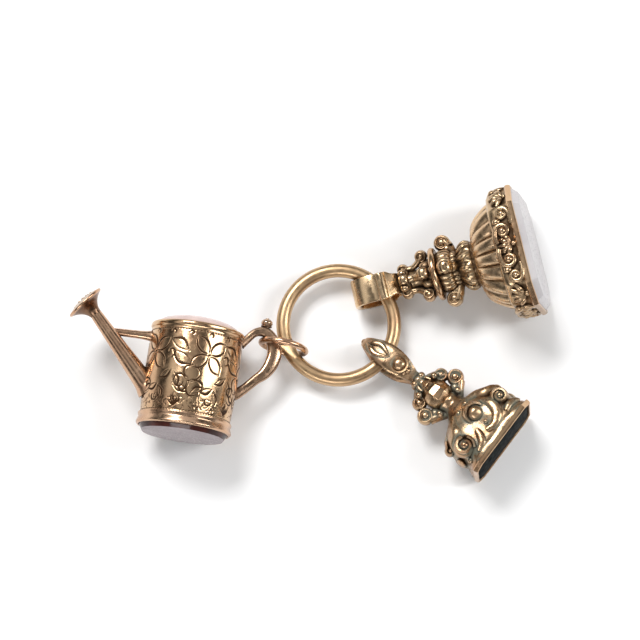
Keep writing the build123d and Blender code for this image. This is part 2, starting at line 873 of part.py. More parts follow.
with BuildPart(can) as can_base_bezel:
    Turned(
        (can_base_stone_radius + stone_gap, 0),
        (can_base_radius - can_lip_chamfer, 0),
        (can_base_radius, can_lip_chamfer),
        (can_base_radius - can_lip_chamfer / 2, can_base_height - can_lip_chamfer),
        (can_foot_radius + can_lip_chamfer / 2, can_base_height),
        (can_foot_radius - can_wall, can_base_height),
        (can_foot_radius - can_wall, can_base_height - plate_thickness),
        (can_base_stone_radius + stone_gap, can_base_height - plate_thickness),
    )
finish(can_base_bezel, "can_base_bezel")

with BuildPart(can) as can_base_plate:
    with Locations((0, 0, can_base_height - plate_thickness / 2)):
        Cylinder(can_foot_radius - can_wall - stone_gap, plate_thickness)
finish(can_base_plate, "can_base_plate")

with BuildPart(can) as can_seal_stone:
    Turned(
        (0, -can_base_stone_rise),
        (can_base_face_radius, -can_base_stone_rise),
        (can_base_stone_radius, 0),
        (can_base_stone_radius, can_base_height - plate_thickness),
        (0, can_base_height - plate_thickness),
    )
finish(can_seal_stone, "can_seal_stone")

# Spout: a tapered tube from the barrel's wall to the neck of the rose
spout_root_x = -can_belly_radius
spout_run = Vector(spout_tip_x - spout_root_x, 0, spout_tip_height - spout_root_height)
spout_way = can.from_local_coords(spout_run) - can.origin
spout = Plane(
    origin=spot(can, spout_root_x, 0, spout_root_height),
    x_dir=can.y_dir,
    z_dir=spout_way,
)
barrel_hull = (
    (0, 0),
    (can_base_radius, 0),
    (can_base_radius, can_base_height),
    (can_foot_radius, can_base_height),
    (can_belly_radius, barrel_middle),
    (can_mouth_radius, can_barrel_top),
    (can_top_radius, can_barrel_top),
    (can_top_radius, can_length),
    (0, can_length),
)
spout_ends = ((-2 * spout_root_radius, spout_root_radius), (spout_run.length, spout_tip_radius))
with BuildPart() as spout_tube:
    for place, radius in spout_ends:
        with BuildSketch(spout.offset(place)):
            Circle(radius)
    loft()
    with Locations(can):
        Turned(*barrel_hull, mode=Mode.SUBTRACT)
    for place, radius in spout_ends:
        with BuildSketch(spout.offset(place)):
            Circle(radius - spout_bore_wall)
    loft(mode=Mode.SUBTRACT)
finish(spout_tube, "spout_tube")

# Rose: a concave flare on the spout's end, turned a little off its line
rose = Plane(spout.offset(spout_run.length).location * Rotation(rose_turn, 0, 0))
flare_radius = spout_tip_radius + (rose_radius - spout_tip_radius) * flare_share
with BuildPart() as spout_rose:
    with BuildSketch(side_of(rose)):
        with BuildLine():
            ThreePointArc(
                (spout_tip_radius, 0),
                (flare_radius, rose_length * flare_rise_share),
                (rose_radius, rose_length),
            )
            Line((rose_radius, rose_length), (rose_radius, rose_length + rose_rim))
            Line((rose_radius, rose_length + rose_rim), (rose_radius - rose_wall, rose_length + rose_rim))
            ThreePointArc(
                (rose_radius - rose_wall, rose_length + rose_rim),
                (flare_radius - rose_wall, rose_length * flare_rise_share + rose_wall / 2),
                (spout_tip_radius - rose_wall, 0),
            )
            Line((spout_tip_radius - rose_wall, 0), (spout_tip_radius - rose_wall, -rose_neck))
            Line((spout_tip_radius - rose_wall, -rose_neck), (spout_tip_radius, -rose_neck))
            Line((spout_tip_radius, -rose_neck), (spout_tip_radius, 0))
        make_face()
    revolve(axis=axis_of(rose))
    split(bisect_by=spout.offset(spout_run.length), keep=Keep.TOP)
finish(spout_rose, "spout_rose")

with BuildPart(rose.offset(rose_length + rose_rim)) as rose_plate:
    DomedDisc(rose_radius, rose_plate_thickness, rose_plate_rise)
finish(rose_plate, "rose_plate")

# Brace: a round rod from the barrel to the spout, cut to both
brace_run = Vector(brace_end_x, 0, brace_end_height) - Vector(0, 0, brace_height)
brace_way = can.from_local_coords(brace_run) - can.origin
brace = Plane(origin=spot(can, 0, 0, brace_height), x_dir=can.y_dir, z_dir=brace_way)
with BuildPart() as spout_brace:
    with BuildSketch(brace):
        Circle(brace_radius)
    extrude(amount=brace_run.length)
    with Locations(can):
        Turned(*barrel_hull, mode=Mode.SUBTRACT)
    for place, radius in ((0, spout_root_radius), (spout_run.length, spout_tip_radius)):
        with BuildSketch(spout.offset(place)):
            Circle(radius)
    loft(mode=Mode.SUBTRACT)
finish(spout_brace, "spout_brace")

# Handle: a bent strap between an outer and an inner line, thick at its belly and slim at both roots
handle_stations = (
    (can_foot_radius, can_length - handle_upper_root_drop, handle_end_width),
    (handle_shoulder_x, can_length + handle_shoulder_rise, handle_end_width),
    (handle_top_x, handle_top_height, (handle_end_width + handle_belly_width) / 2),
    (handle_outer_x, can_length - handle_outer_drop, handle_belly_width),
    (handle_elbow_x, can_length - handle_elbow_drop, handle_belly_width),
    (handle_bar_x, can_length - handle_bar_drop, handle_end_width),
    (can_foot_radius - root_sink, can_length - handle_lower_root_drop, handle_end_width),
)
with BuildPart() as can_handle:
    with BuildSketch(can_side):
        with BuildLine():
            middle = Spline([(x, z) for x, z, width in handle_stations], mode=Mode.PRIVATE)
            outer_points = []
            inner_points = []
            for x, z, width in handle_stations:
                along = middle.tangent_at(middle.param_at_point((x, z)))
                aside = Vector(-along.Y, along.X) * (width / 2)
                outer_points.append(Vector(x, z) + aside)
                inner_points.append(Vector(x, z) - aside)
            outer_line = Spline(outer_points)
            inner_line = Spline(inner_points)
            Line(outer_line @ 0, inner_line @ 0)
            Line(outer_line @ 1, inner_line @ 1)
        make_face()
    extrude(amount=handle_depth / 2, both=True)
    long_edges = can_handle.edges().filter_by(GeomType.BSPLINE)
    fillet(long_edges, radius=handle_round)
    with Locations(can):
        Turned(*barrel_hull, mode=Mode.SUBTRACT)
finish(can_handle, "can_handle")

with BuildPart() as handle_knob:
    with Locations(can):
        with Locations((knob_x, 0, knob_height)):
            Sphere(knob_radius)
        with Locations((knob_x, 0, (knob_height + handle_top_height) / 2)):
            Cylinder(knob_neck_radius, knob_height - handle_top_height)
    add(can_handle.part, mode=Mode.SUBTRACT)
finish(handle_knob, "handle_knob")
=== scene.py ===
"""The looks of a pocket watch fob: a split ring that carries a watering can charm and two seals.

Lengths are in millimetres until a piece is placed. Each charm is shaped in its own frame, with Z along the
charm from the ring's wire (or from the can's base) and -Y or +Y up from the table, and is then moved to where
the frame has it.
"""

import logging
import math
from collections.abc import Callable, Iterator, Sequence
from dataclasses import dataclass
from enum import Enum
from functools import cache

import bmesh
import bpy
import numpy as np
from mathutils import Matrix, Vector

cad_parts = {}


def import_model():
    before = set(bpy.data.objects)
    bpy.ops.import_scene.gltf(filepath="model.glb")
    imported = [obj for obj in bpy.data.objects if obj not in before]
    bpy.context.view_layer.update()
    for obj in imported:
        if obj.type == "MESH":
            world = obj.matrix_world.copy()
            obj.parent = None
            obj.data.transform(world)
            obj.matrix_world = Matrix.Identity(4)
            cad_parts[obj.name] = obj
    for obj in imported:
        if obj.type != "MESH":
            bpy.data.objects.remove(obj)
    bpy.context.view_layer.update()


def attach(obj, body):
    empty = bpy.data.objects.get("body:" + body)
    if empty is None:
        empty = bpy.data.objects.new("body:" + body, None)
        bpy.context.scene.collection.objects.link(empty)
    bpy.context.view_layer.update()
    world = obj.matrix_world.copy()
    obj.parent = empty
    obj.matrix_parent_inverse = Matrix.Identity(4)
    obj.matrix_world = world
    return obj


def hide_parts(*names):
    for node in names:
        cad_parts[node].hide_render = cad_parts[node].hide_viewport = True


# A millimetre in metres. Then in millimetres: the gap between fob and table, how near spots are welded,
# the split ring's middle and the radius of its wire's middle line.
MM = 0.001
TABLE_GAP = 0.01
WELD = 0.001
RING_CENTRE = (4.62, 2.35, 3.42)
RING_RADIUS = 9.8

# What a cut corner's legs lose for each millimetre that a face's outline is drawn in.
CORNER_SHARE = 0.586

# The way along a charm, which is Z in its own frame.
UP = Vector((0, 0, 1))
log = logging.getLogger("fob")

Colour = tuple[float, float, float]
Point = tuple[float, float, float]
Rows = Sequence[Sequence[float]]
Mesh = bmesh.types.BMesh
Socket = bpy.types.NodeSocket


class Slot(Enum):
    """The record's material slots."""

    GOLD = "gold"
    PALE_STONE = "pale_stone"
    BANDED_STONE = "banded_stone"
    CLEAR_STONE = "clear_stone"
    DARK_STONE = "dark_stone"


class Graph:
    """The nodes of one material, with short calls to add and feed them."""

    def __init__(self, name: str) -> None:
        """Starts a material of that name with a bare shader."""
        self.material = bpy.data.materials.new(name)
        self.material.use_nodes = True
        self.tree = self.material.node_tree
        self.tree.nodes.clear()
        self.shader = self.add("ShaderNodeBsdfPrincipled")
        self.feed(self.add("ShaderNodeOutputMaterial").inputs["Surface"], self.shader.outputs[0])
        self.place = self.add("ShaderNodeTexCoord").outputs["Object"]

    def add(self, kind: str, **settings: object) -> bpy.types.Node:
        """Adds a node of a kind, with attributes set on it, and returns it."""
        node = self.tree.nodes.new(kind)
        for key, value in settings.items():
            setattr(node, key, value)
        return node

    def feed(self, target: Socket, value: Socket | Colour | float) -> None:
        """Feeds an input with another node's output, a colour or a number."""
        if isinstance(value, bpy.types.NodeSocket):
            self.tree.links.new(value, target)
        elif isinstance(value, tuple):
            target.default_value = (*value, 1.0)
        else:
            target.default_value = value

    def noise(self, size: float, detail: float = 3.0) -> Socket:
        """Adds a noise with patches of a size in millimetres and returns its value."""
        node = self.add("ShaderNodeTexNoise")
        values = {"Scale": 1 / (size * MM), "Detail": detail, "Roughness": 0.55, "Vector": self.place}
        for name, value in values.items():
            self.feed(node.inputs[name], value)
        return node.outputs["Fac"]

    def openness(self, reach: float) -> Socket:
        """Adds how open the surface is within a reach in millimetres, from 0 in a hollow to 1."""
        node = self.add("ShaderNodeAmbientOcclusion", samples=8)
        self.feed(node.inputs["Distance"], reach * MM)
        return node.outputs["AO"]

    def spread(self, value: Socket, low: float, high: float, to: tuple[float, float] = (0.0, 1.0)) -> Socket:
        """Maps a value from the range of low to high to another range, clamped, and returns the result."""
        node = self.add("ShaderNodeMapRange")
        names = ("Value", "From Min", "From Max", "To Min", "To Max")
        for name, number in zip(names, (value, low, high, *to)):
            self.feed(node.inputs[name], number)
        return node.outputs["Result"]

    def combine(self, operation: str, *values: Socket | float) -> Socket:
        """Combines values by an operation, clamped to 0 to 1, and returns the result."""
        node = self.add("ShaderNodeMath", operation=operation, use_clamp=True)
        for target, value in zip(node.inputs, values):
            self.feed(target, value)
        return node.outputs[0]

    def mix(self, share: Socket, first: Socket | Colour, second: Socket | Colour) -> Socket:
        """Mixes two colours by the share of the second and returns the mixed colour."""
        node = self.add("ShaderNodeMix", data_type="RGBA")
        for number, value in ((0, share), (6, first), (7, second)):
            self.feed(node.inputs[number], value)
        return node.outputs[2]

    def bump(self, *heights: tuple[Socket, float]) -> None:
        """Bumps the surface by heights laid over each other, each with its depth in millimetres."""
        normal = None
        for height, depth in heights:
            node = self.add("ShaderNodeBump")
            self.feed(node.inputs["Distance"], depth * MM)
            self.feed(node.inputs["Height"], height)
            if normal is not None:
                self.feed(node.inputs["Normal"], normal)
            normal = node.outputs[0]
        self.feed(self.shader.inputs["Normal"], normal)


@dataclass(frozen=True)
class WornGold:
    """Old gold: bright where it is rubbed, rosy in patches, and darkened in its hollows, partly by soiling
    and partly by painted shade.
    """

    name: str
    bright: Colour = (0.62, 0.42, 0.25)
    rosy: Colour = (0.55, 0.34, 0.2)
    # The colour that hollows are darkened towards, and the openness range and reach that set where: partly
    # soiling and partly painted shade.
    dirt_and_shade_colour: Colour = (0.032, 0.013, 0.005)
    dirt_and_shade_start: float = 0.8
    dirt_and_shade_full: float = 0.35
    dirt_and_shade_reach: float = 1.0
    dirt_and_shade_roughness: float = 0.35
    roughness: float = 0.2
    patch_size: float = 6.0
    dents: float = 0.015
    dent_size: float = 1.8
    engraved: bool = False
    verdigris: Colour | None = None

    @cache
    def build(self) -> bpy.types.Material:
        """Builds the material at the first call and returns it."""
        graph = Graph(self.name)
        shader = graph.shader.inputs
        graph.feed(shader["Metallic"], 1.0)
        colour = graph.mix(graph.spread(graph.noise(self.patch_size), 0.42, 0.66), self.bright, self.rosy)
        # Hollows found by ambient occlusion are darkened towards a near-black brown: partly soiling and
        # partly painted shade.
        openness = graph.openness(self.dirt_and_shade_reach)
        broken = graph.spread(graph.noise(0.5, 4.0), 0.3, 0.7, (0.6, 1.0))
        dirt_and_shade = graph.combine("MULTIPLY", graph.spread(openness, self.dirt_and_shade_start, self.dirt_and_shade_full), broken)
        # The engraved cuts are darkened the same way: partly soiling in the cuts and partly painted shade.
        if self.engraved:
            cut = graph.add("ShaderNodeAttribute", attribute_name="engraved").outputs["Fac"]
            dirt_and_shade = graph.combine("MAXIMUM", dirt_and_shade, graph.spread(cut, 0.1, 0.6, (0.0, 0.96)))
        if self.verdigris is not None:
            green = graph.spread(graph.noise(2.8, 4.0), 0.46, 0.53, (0.0, 0.95))
            crust = graph.combine("MULTIPLY", green, graph.spread(openness, 0.96, 0.78))
            colour = graph.mix(crust, colour, self.verdigris)
            graph.feed(shader["Metallic"], graph.spread(crust, 0.0, 1.0, (1.0, 0.15)))
        # The soiling and painted shade are mixed into the base colour here.
        graph.feed(shader["Base Color"], graph.mix(dirt_and_shade, colour, self.dirt_and_shade_colour))
        rubbed = graph.spread(graph.noise(1.1, 4.0), 0.3, 0.7, (self.roughness - 0.06, self.roughness + 0.12))
        graph.feed(shader["Roughness"], graph.combine("MULTIPLY_ADD", dirt_and_shade, self.dirt_and_shade_roughness, rubbed))
        grain = (graph.noise(0.3), 0.15 * self.dents + 0.002)
        graph.bump((graph.noise(self.dent_size, 2.0), self.dents), grain)
        return graph.material


@dataclass(frozen=True)
class PolishedStone:
    """A hard stone, clouded a little, with a polish, and darkened where it is hemmed in: partly soiling and
    partly painted shade.
    """

    name: str
    colour: Colour
    cloud: Colour
    cloud_size: float
    roughness: float = 0.08
    index: float = 1.54
    # The colour and reach of the darkening where the stone is hemmed in: partly soiling and partly painted
    # shade.
    grime_and_shade_colour: Colour = (0.2, 0.17, 0.14)
    grime_and_shade_reach: float = 0.4

    @cache
    def build(self) -> bpy.types.Material:
        """Builds the material at the first call and returns it."""
        graph = Graph(self.name)
        shader = graph.shader.inputs
        cloudy = graph.spread(graph.noise(self.cloud_size, 4.0), 0.38, 0.66)
        # Ambient occlusion darkens the stone where it is hemmed in: partly soiling and partly painted shade.
        grime_and_shade = graph.spread(graph.openness(self.grime_and_shade_reach), 0.75, 0.4, (0.0, 0.7))
        colour = graph.mix(cloudy, self.colour, self.cloud)
        graph.feed(shader["Base Color"], graph.mix(grime_and_shade, colour, self.grime_and_shade_colour))
        fine = graph.spread(graph.noise(0.4, 5.0), 0.3, 0.7, (self.roughness, self.roughness + 0.12))
        graph.feed(shader["Roughness"], fine)
        graph.feed(shader["IOR"], self.index)
        return graph.material


PLAIN_GOLD = WornGold("plain_gold", dirt_and_shade_start=0.75, dirt_and_shade_full=0.25, roughness=0.18)
RING_GOLD = WornGold(
    "ring_gold", (0.57, 0.39, 0.22), (0.51, 0.335, 0.19), dirt_and_shade_full=0.3, roughness=0.33, dents=0.003
)
# A lighter copy of the gold for the large bail: the extra lightness is a painted highlight on its broad top.
LIT_STRAP_GOLD = WornGold(
    "lit_strap_gold", (0.8, 0.58, 0.35), (0.74, 0.51, 0.3), dirt_and_shade_start=0.75, dirt_and_shade_full=0.3, dents=0.02
)
CHASED_GOLD = WornGold(
    "chased_gold", (0.56, 0.4, 0.24), (0.49, 0.32, 0.19), dirt_and_shade_start=0.95, dirt_and_shade_full=0.5, dirt_and_shade_reach=1.8,
    dents=0.03,
)
LOBED_GOLD = WornGold(
    "lobed_gold", (0.66, 0.47, 0.29), (0.6, 0.41, 0.25), dirt_and_shade_start=0.76, dirt_and_shade_full=0.36, dirt_and_shade_reach=0.9,
    roughness=0.24,
)
ENGRAVED_GOLD = WornGold(
    "engraved_gold", dirt_and_shade_start=0.7, dirt_and_shade_full=0.25, dirt_and_shade_reach=0.8, roughness=0.17, dents=0.006,
    engraved=True,
)
ROSY_GOLD = WornGold("rosy_gold", (0.61, 0.4, 0.26), (0.54, 0.32, 0.2), dirt_and_shade_start=0.9, dirt_and_shade_reach=1.6)
# A darker copy of the gold for the handle, which lies on the can's lower side: the extra darkness is painted
# shade.
SHADED_HANDLE_GOLD = WornGold(
    "shaded_handle_gold", (0.5, 0.335, 0.22), (0.42, 0.255, 0.16), dirt_and_shade_start=0.96, dirt_and_shade_full=0.42, dirt_and_shade_reach=2.2
)
# A very dark copy of the gold for the rose's flare: painted shade and painted dark reflection in its hollow.
SHADED_FLARE_GOLD = WornGold(
    "shaded_flare_gold", (0.26, 0.16, 0.1), (0.19, 0.1, 0.06), dirt_and_shade_start=0.98, dirt_and_shade_full=0.6, dirt_and_shade_reach=3.0
)
GREENED_GOLD = WornGold(
    "greened_gold", (0.5, 0.34, 0.2), (0.4, 0.23, 0.13), dirt_and_shade_start=0.95, dirt_and_shade_full=0.52, dirt_and_shade_reach=1.8,
    roughness=0.24, dents=0.13, dent_size=2.4, verdigris=(0.25, 0.28, 0.215),
)
CLEAR_STONE = PolishedStone("clear_stone", (0.58, 0.555, 0.56), (0.5, 0.475, 0.485), 6.0, 0.25, 1.35)
PALE_STONE = PolishedStone("pale_stone", (0.68, 0.53, 0.49), (0.58, 0.44, 0.41), 3.0, index=1.25)
STONE_FACE = PolishedStone("banded_stone_face", (0.41, 0.365, 0.375), (0.36, 0.315, 0.325), 4.0, 0.2, 1.05)
STONE_BAND = PolishedStone("banded_stone_edge", (0.035, 0.012, 0.01), (0.08, 0.025, 0.02), 2.0, index=1.3)
DARK_STONE = PolishedStone("dark_stone", (0.007, 0.008, 0.009), (0.03, 0.035, 0.034), 0.9, index=1.008)


@dataclass(frozen=True)
class Placement:
    """Where a charm's own frame lies: its origin, the way of its Z, which side is up and its roll about Z."""

    origin: Point
    heading: float
    rise: float
    up_is_minus_y: bool = False
    roll: float = 0.0

    def matrix(self) -> Matrix:
        """Returns the matrix from the charm's frame to the fob's, both in millimetres."""
        way, rise = math.radians(self.heading), math.radians(self.rise)
        along = Vector((math.cos(way) * math.cos(rise), math.sin(way) * math.cos(rise), math.sin(rise)))
        side = 1.0 if self.up_is_minus_y else -1.0
        across = Vector((side * math.sin(way), -side * math.cos(way), 0.0))
        turned_to = Matrix((across, along.cross(across), along)).transposed().to_4x4()
        return Matrix.Translation(self.origin) @ turned_to @ Matrix.Rotation(math.radians(self.roll), 4, "Z")


def into_scene(name: str, bm: Mesh) -> bpy.types.Object:
    """Turns a mesh into an object of the scene, frees it and returns the object."""
    mesh = bpy.data.meshes.new(name)
    bm.to_mesh(mesh)
    bm.free()
    thing = bpy.data.objects.new(name, mesh)
    bpy.context.scene.collection.objects.link(thing)
    return thing


@dataclass
class Maker:
    """Turns finished meshes into pieces of one body of the fob."""

    body: str
    placement: Matrix

    def piece(
        self,
        name: str,
        bm: Mesh,
        node: str,
        *finishes: WornGold | PolishedStone,
        crease: float = 42.0,
        slot: Slot = Slot.GOLD,
        recalculate: bool = True,
    ) -> None:
        """Places a mesh, dresses it and puts it on its body.

        Args:
            name: The piece's name.
            bm: Its mesh in the charm's frame, which is freed.
            node: The CAD node that it stands for.
            *finishes: Its finishes, in the order of its faces' material numbers.
            crease: The angle past which an edge stays sharp, in degrees.
            slot: Not used.
            recalculate: Whether its normals are worked out again.
        """
        bmesh.ops.remove_doubles(bm, verts=bm.verts, dist=WELD)
        bmesh.ops.transform(bm, matrix=Matrix.Scale(MM, 4) @ self.placement, verts=bm.verts)
        self.rest(bm)
        if recalculate:
            bmesh.ops.recalc_face_normals(bm, faces=bm.faces)
        for face in bm.faces:
            face.smooth = True
        for edge in bm.edges:
            edge.smooth = edge.calc_face_angle(0.0) < math.radians(crease)
        thing = into_scene(name, bm)
        for finish in finishes:
            thing.data.materials.append(finish.build())
        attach(thing, self.body)
        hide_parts(node)
        log.info("%s: %d faces", name, len(thing.data.polygons))

    def lathe(
        self,
        name: str,
        outline: Rows,
        steps: int,
        node: str,
        finish: WornGold | PolishedStone,
        crease: float = 42.0,
        slot: Slot = Slot.GOLD,
        matrix: Matrix | None = None,
    ) -> None:
        """Makes a piece that is one turned outline.

        Args:
            name: The piece's name.
            outline: Radius and height at each point.
            steps: The number of steps round.
            node: The CAD node that it stands for.
            finish: Its finish.
            crease: The angle past which an edge stays sharp, in degrees.
            slot: A record slot, handed on to piece.
            matrix: Where the turned form goes, if not on Z.
        """
        bm = bmesh.new()
        turned(bm, outline, steps, matrix)
        self.piece(name, bm, node, finish, crease=crease, slot=slot)

    def rest(self, bm: Mesh) -> None:
        """Flattens what would sink below the table that the fob lies on."""
        low = [vert for vert in bm.verts if vert.co.z < TABLE_GAP * MM]
        for vert in low:
            vert.co.z = TABLE_GAP * MM
        if low:
            bmesh.ops.dissolve_degenerate(bm, dist=0.0005 * MM, edges=bm.edges)

    def finish_node(self, node: str, finish: WornGold) -> None:
        """Dresses a CAD node that stays as it is."""
        thing = bpy.data.objects[node]
        if not thing.data.materials:
            thing.data.materials.append(finish.build())
        for slot in thing.material_slots:
            slot.material = finish.build()
        log.info("%s: CAD node dressed", node)


def clamp(value: float, low: float = 0.0, high: float = 1.0) -> float:
    """Returns a value held between two limits."""
    return min(max(value, low), high)


def powered(value: float, power: float) -> float:
    """Returns a value raised to a power, with its sign kept."""
    return math.copysign(abs(value) ** power, value)


def turns(count: int) -> Iterator[tuple[float, float, float]]:
    """Gives the equal turns of a full round, each with its cosine and sine."""
    for step in range(count):
        turn = 2 * math.pi * step / count
        yield turn, math.cos(turn), math.sin(turn)


def spoke(number: float, count: int = 5, start: float = 18.0) -> Vector:
    """Returns the way out from Z at one of a count of equal turns, the first at a start in degrees."""
    turn = math.radians(start + 360 * number / count)
    return Vector((math.cos(turn), math.sin(turn), 0))


def loop_edges(bm: Mesh, spots: Sequence[Vector]) -> list[bmesh.types.BMEdge]:
    """Makes a closed loop of vertices through spots and returns its edges."""
    verts = bmesh.ops.create_circle(bm, cap_ends=False, segments=len(spots), radius=1.0)["verts"]
    for vert, place in zip(verts, spots):
        vert.co = place
    return list({edge for vert in verts for edge in vert.link_edges})


def loft(bm: Mesh, rows: Sequence[Sequence[Vector]], closed: bool = False) -> None:
    """Skins a row of loops, all of one length, and fills the two ends of an open row.

    Args:
        bm: The mesh.
        rows: The spots of each loop.
        closed: Whether the last loop joins the first.
    """
    loops = [loop_edges(bm, row) for row in rows]
    for one, other in zip(loops, loops[1:]):
        bmesh.ops.bridge_loops(bm, edges=one + other)
    if closed:
        bmesh.ops.bridge_loops(bm, edges=loops[-1] + loops[0])
    else:
        for end in (loops[0], loops[-1]):
            bmesh.ops.edgeloop_fill(bm, edges=end)


def turned(bm: Mesh, outline: Rows, steps: int, matrix: Matrix | None = None) -> list[bmesh.types.BMVert]:
    """Turns an outline of (radius, height) points round Z.

    Args:
        bm: The mesh.
        outline: The outline's points, from one end to the other.
        steps: The number of steps round.
        matrix: Where the turned form goes, if not on Z.

    Returns:
        The form's vertices.
    """
    before = set(bm.verts)
    spots = [bm.verts.new((radius, 0.0, height)) for radius, height in outline]
    edges = [bm.edges.new(pair) for pair in zip(spots, spots[1:])]
    bmesh.ops.spin(
        bm, geom=spots + edges, cent=(0, 0, 0), axis=(0, 0, 1), angle=2 * math.pi, steps=steps, use_merge=True
    )
    made = [vert for vert in bm.verts if vert not in before]
    bmesh.ops.remove_doubles(bm, verts=made, dist=WELD / 2)
    made = [vert for vert in bm.verts if vert not in before]
    if matrix is not None:
        bmesh.ops.transform(bm, matrix=matrix, verts=made)
    return made


def second_finish(bm: Mesh, start: int) -> None:
    """Gives the faces from a number on the second finish of their piece."""
    bm.faces.ensure_lookup_table()
    for face in bm.faces[start:]:
        face.material_index = 1


def rounded(corners: Rows, radius: float) -> list[Sequence[float]]:
    """Rounds the corners of an open outline.

    Args:
        corners: The outline's corners, whose two ends stay as they are.
        radius: The most that a corner is rounded by.

    Returns:
        The rounded outline.
    """
    steps = 4
    made = [corners[0]]
    for before, at, after in zip(corners, corners[1:], corners[2:]):
        one, here, two = Vector(before), Vector(at), Vector(after)
        reach = min(radius, (one - here).length * 0.45, (two - here).length * 0.45)
        start = here + (one - here).normalized() * reach
        end = here + (two - here).normalized() * reach
        for step in range(steps + 1):
            share = step / steps
            made.append(tuple(start.lerp(here, share).lerp(here.lerp(end, share), share)))
    made.append(corners[-1])
    return made


def ball(bm: Mesh, at: Sequence[float], radius: float, stretch: Point = (1, 1, 1), fine: int = 3) -> None:
    """Adds a ball.

    Args:
        bm: The mesh.
        at: Its middle.
        radius: Its radius.
        stretch: How much it is stretched along X, Y and Z.
        fine: How finely it is divided.
    """
    matrix = Matrix.Translation(at) @ Matrix.Diagonal((*stretch, 1.0))
    bmesh.ops.create_icosphere(bm, subdivisions=fine, radius=radius, matrix=matrix)


def smooth_path(spots: Rows, steps: int = 6) -> list[list[float]]:
    """Runs a smooth line through spots.

    Args:
        spots: The spots, each of two or more numbers, which are all smoothed alike.
        steps: The steps between two spots.

    Returns:
        The numbers along the line.
    """
    rows = np.array(spots, float)
    padded = np.vstack((2 * rows[0] - rows[1], rows, 2 * rows[-1] - rows[-2]))
    made = []
    for before, one, two, after in zip(padded, padded[1:], padded[2:], padded[3:]):
        for step in range(steps):
            share = step / steps
            square = (2 * before - 5 * one + 4 * two - after) * share**2
            cube = (3 * one - before - 3 * two + after) * share**3
            made.append(0.5 * (2 * one + (two - before) * share + square + cube))
    made.append(rows[-1])
    return [list(row) for row in made]


def tube(bm: Mesh, spots: Rows, facing: Vector, sides: int = 12, steps: int = 6, power: float = 2.0) -> None:
    """Sweeps a rounded section along a smooth line.

    Args:
        bm: The mesh.
        spots: X, Y, Z, half width and half thickness at each spot; the thickness lies towards facing.
        facing: The way that the section's thickness looks, about square to the line.
        sides: The section's number of sides.
        steps: The steps between two spots.
        power: 2 for an ellipse, more for a squarer section.
    """
    thinnest = 0.01
    rows = smooth_path(spots, steps)
    line = [Vector(row[:3]) for row in rows]
    loops = []
    for number, row in enumerate(rows):
        way = (line[min(number + 1, len(line) - 1)] - line[max(number - 1, 0)]).normalized()
        across = way.cross(facing).normalized()
        out = across.cross(way).normalized()
        wide, thick = max(row[3], thinnest), max(row[4], thinnest)
        loops.append(
            [
                line[number] + across * (powered(c, 2 / power) * wide) + out * (powered(s, 2 / power) * thick)
                for _, c, s in turns(sides)
            ]
        )
    loft(bm, loops)


def bracket(bm: Mesh, out: Vector, spots: Rows, facing: Vector, sides: int = 14, steps: int = 6) -> None:
    """Sweeps a tube in the plane of Z and a way out.

    Args:
        bm: The mesh.
        out: The way out from Z.
        spots: Reach, height, half width and half thickness at each spot.
        facing: The way that the thickness looks.
        sides: The section's number of sides.
        steps: The steps between two spots.
    """
    placed = [(*(out * reach + UP * rise), wide, thick) for reach, rise, wide, thick in spots]
    tube(bm, placed, facing, sides, steps)


def roll(bm: Mesh, at: Vector, axis: Vector, radius: float, half: float) -> None:
    """Adds a scroll's rolled end: a short drum with a ringed eye on both faces.

    Args:
        bm: The mesh.
        at: Its middle.
        axis: The drum's axis.
        radius: Its radius.
        half: Half its width.
    """
    face = [(0.0, 1.02), (0.2, 1.0), (0.34, 0.9), (0.42, 0.72), (0.52, 0.7)]
    face += [(0.66, 0.88), (0.8, 0.9), (0.94, 0.62), (1.0, 0.25)]
    whole = face + [(share, -rise) for share, rise in reversed(face)]
    stand = Matrix.Translation(at) @ axis.to_track_quat("Z", "Y").to_matrix().to_4x4()
    turned(bm, [(abs(radius * share), half * rise) for share, rise in smooth_path(whole, 3)], 40, stand)


def scroll(
    bm: Mesh,
    eye: Vector,
    out: Vector,
    up: Vector,
    radius: float,
    thick: float,
    winds: float,
    wide: float,
    tail: Sequence[Vector],
) -> None:
    """Adds a scroll: a band that winds in to a ball at its eye.

    Args:
        bm: The mesh.
        eye: The middle of the scroll.
        out: The way from the eye to where the band comes in.
        up: The way that the band runs there.
        radius: The scroll's outer radius.
        thick: The band's thickness at its outer end.
        winds: The number of turns.
        wide: The band's width along the scroll's axis.
        tail: More spots ahead of the scroll, from the far end.
    """
    rows = [[*spot, thick / 2, wide / 2] for spot in tail]
    count = int(10 * winds)
    for step in range(count + 1):
        share = step / count
        turn = 2 * math.pi * winds * share
        reach = (radius - thick / 2) * (1 - 0.62 * share)
        spot = eye + (out * math.cos(turn) + up * math.sin(turn)) * reach
        fade = 1 - 0.45 * share
        rows.append([*spot, thick / 2 * fade, wide / 2 * fade])
    tube(bm, rows, out.cross(up).normalized(), sides=10, steps=2)
    ball(bm, eye, radius * 0.42, fine=2)


def strap_section(outer: Vector, inner: Vector, width: float, section: Rows) -> list[Vector]:
    """Returns the spots of a strap's section.

    Args:
        outer: The middle of its outer side.
        inner: The middle of its inner side.
        width: Half its width, along X.
        section: The share of the way inwards and of the width at each spot.
    """
    return [outer.lerp(inner, depth) + Vector((width * share, 0, 0)) for depth, share in section]


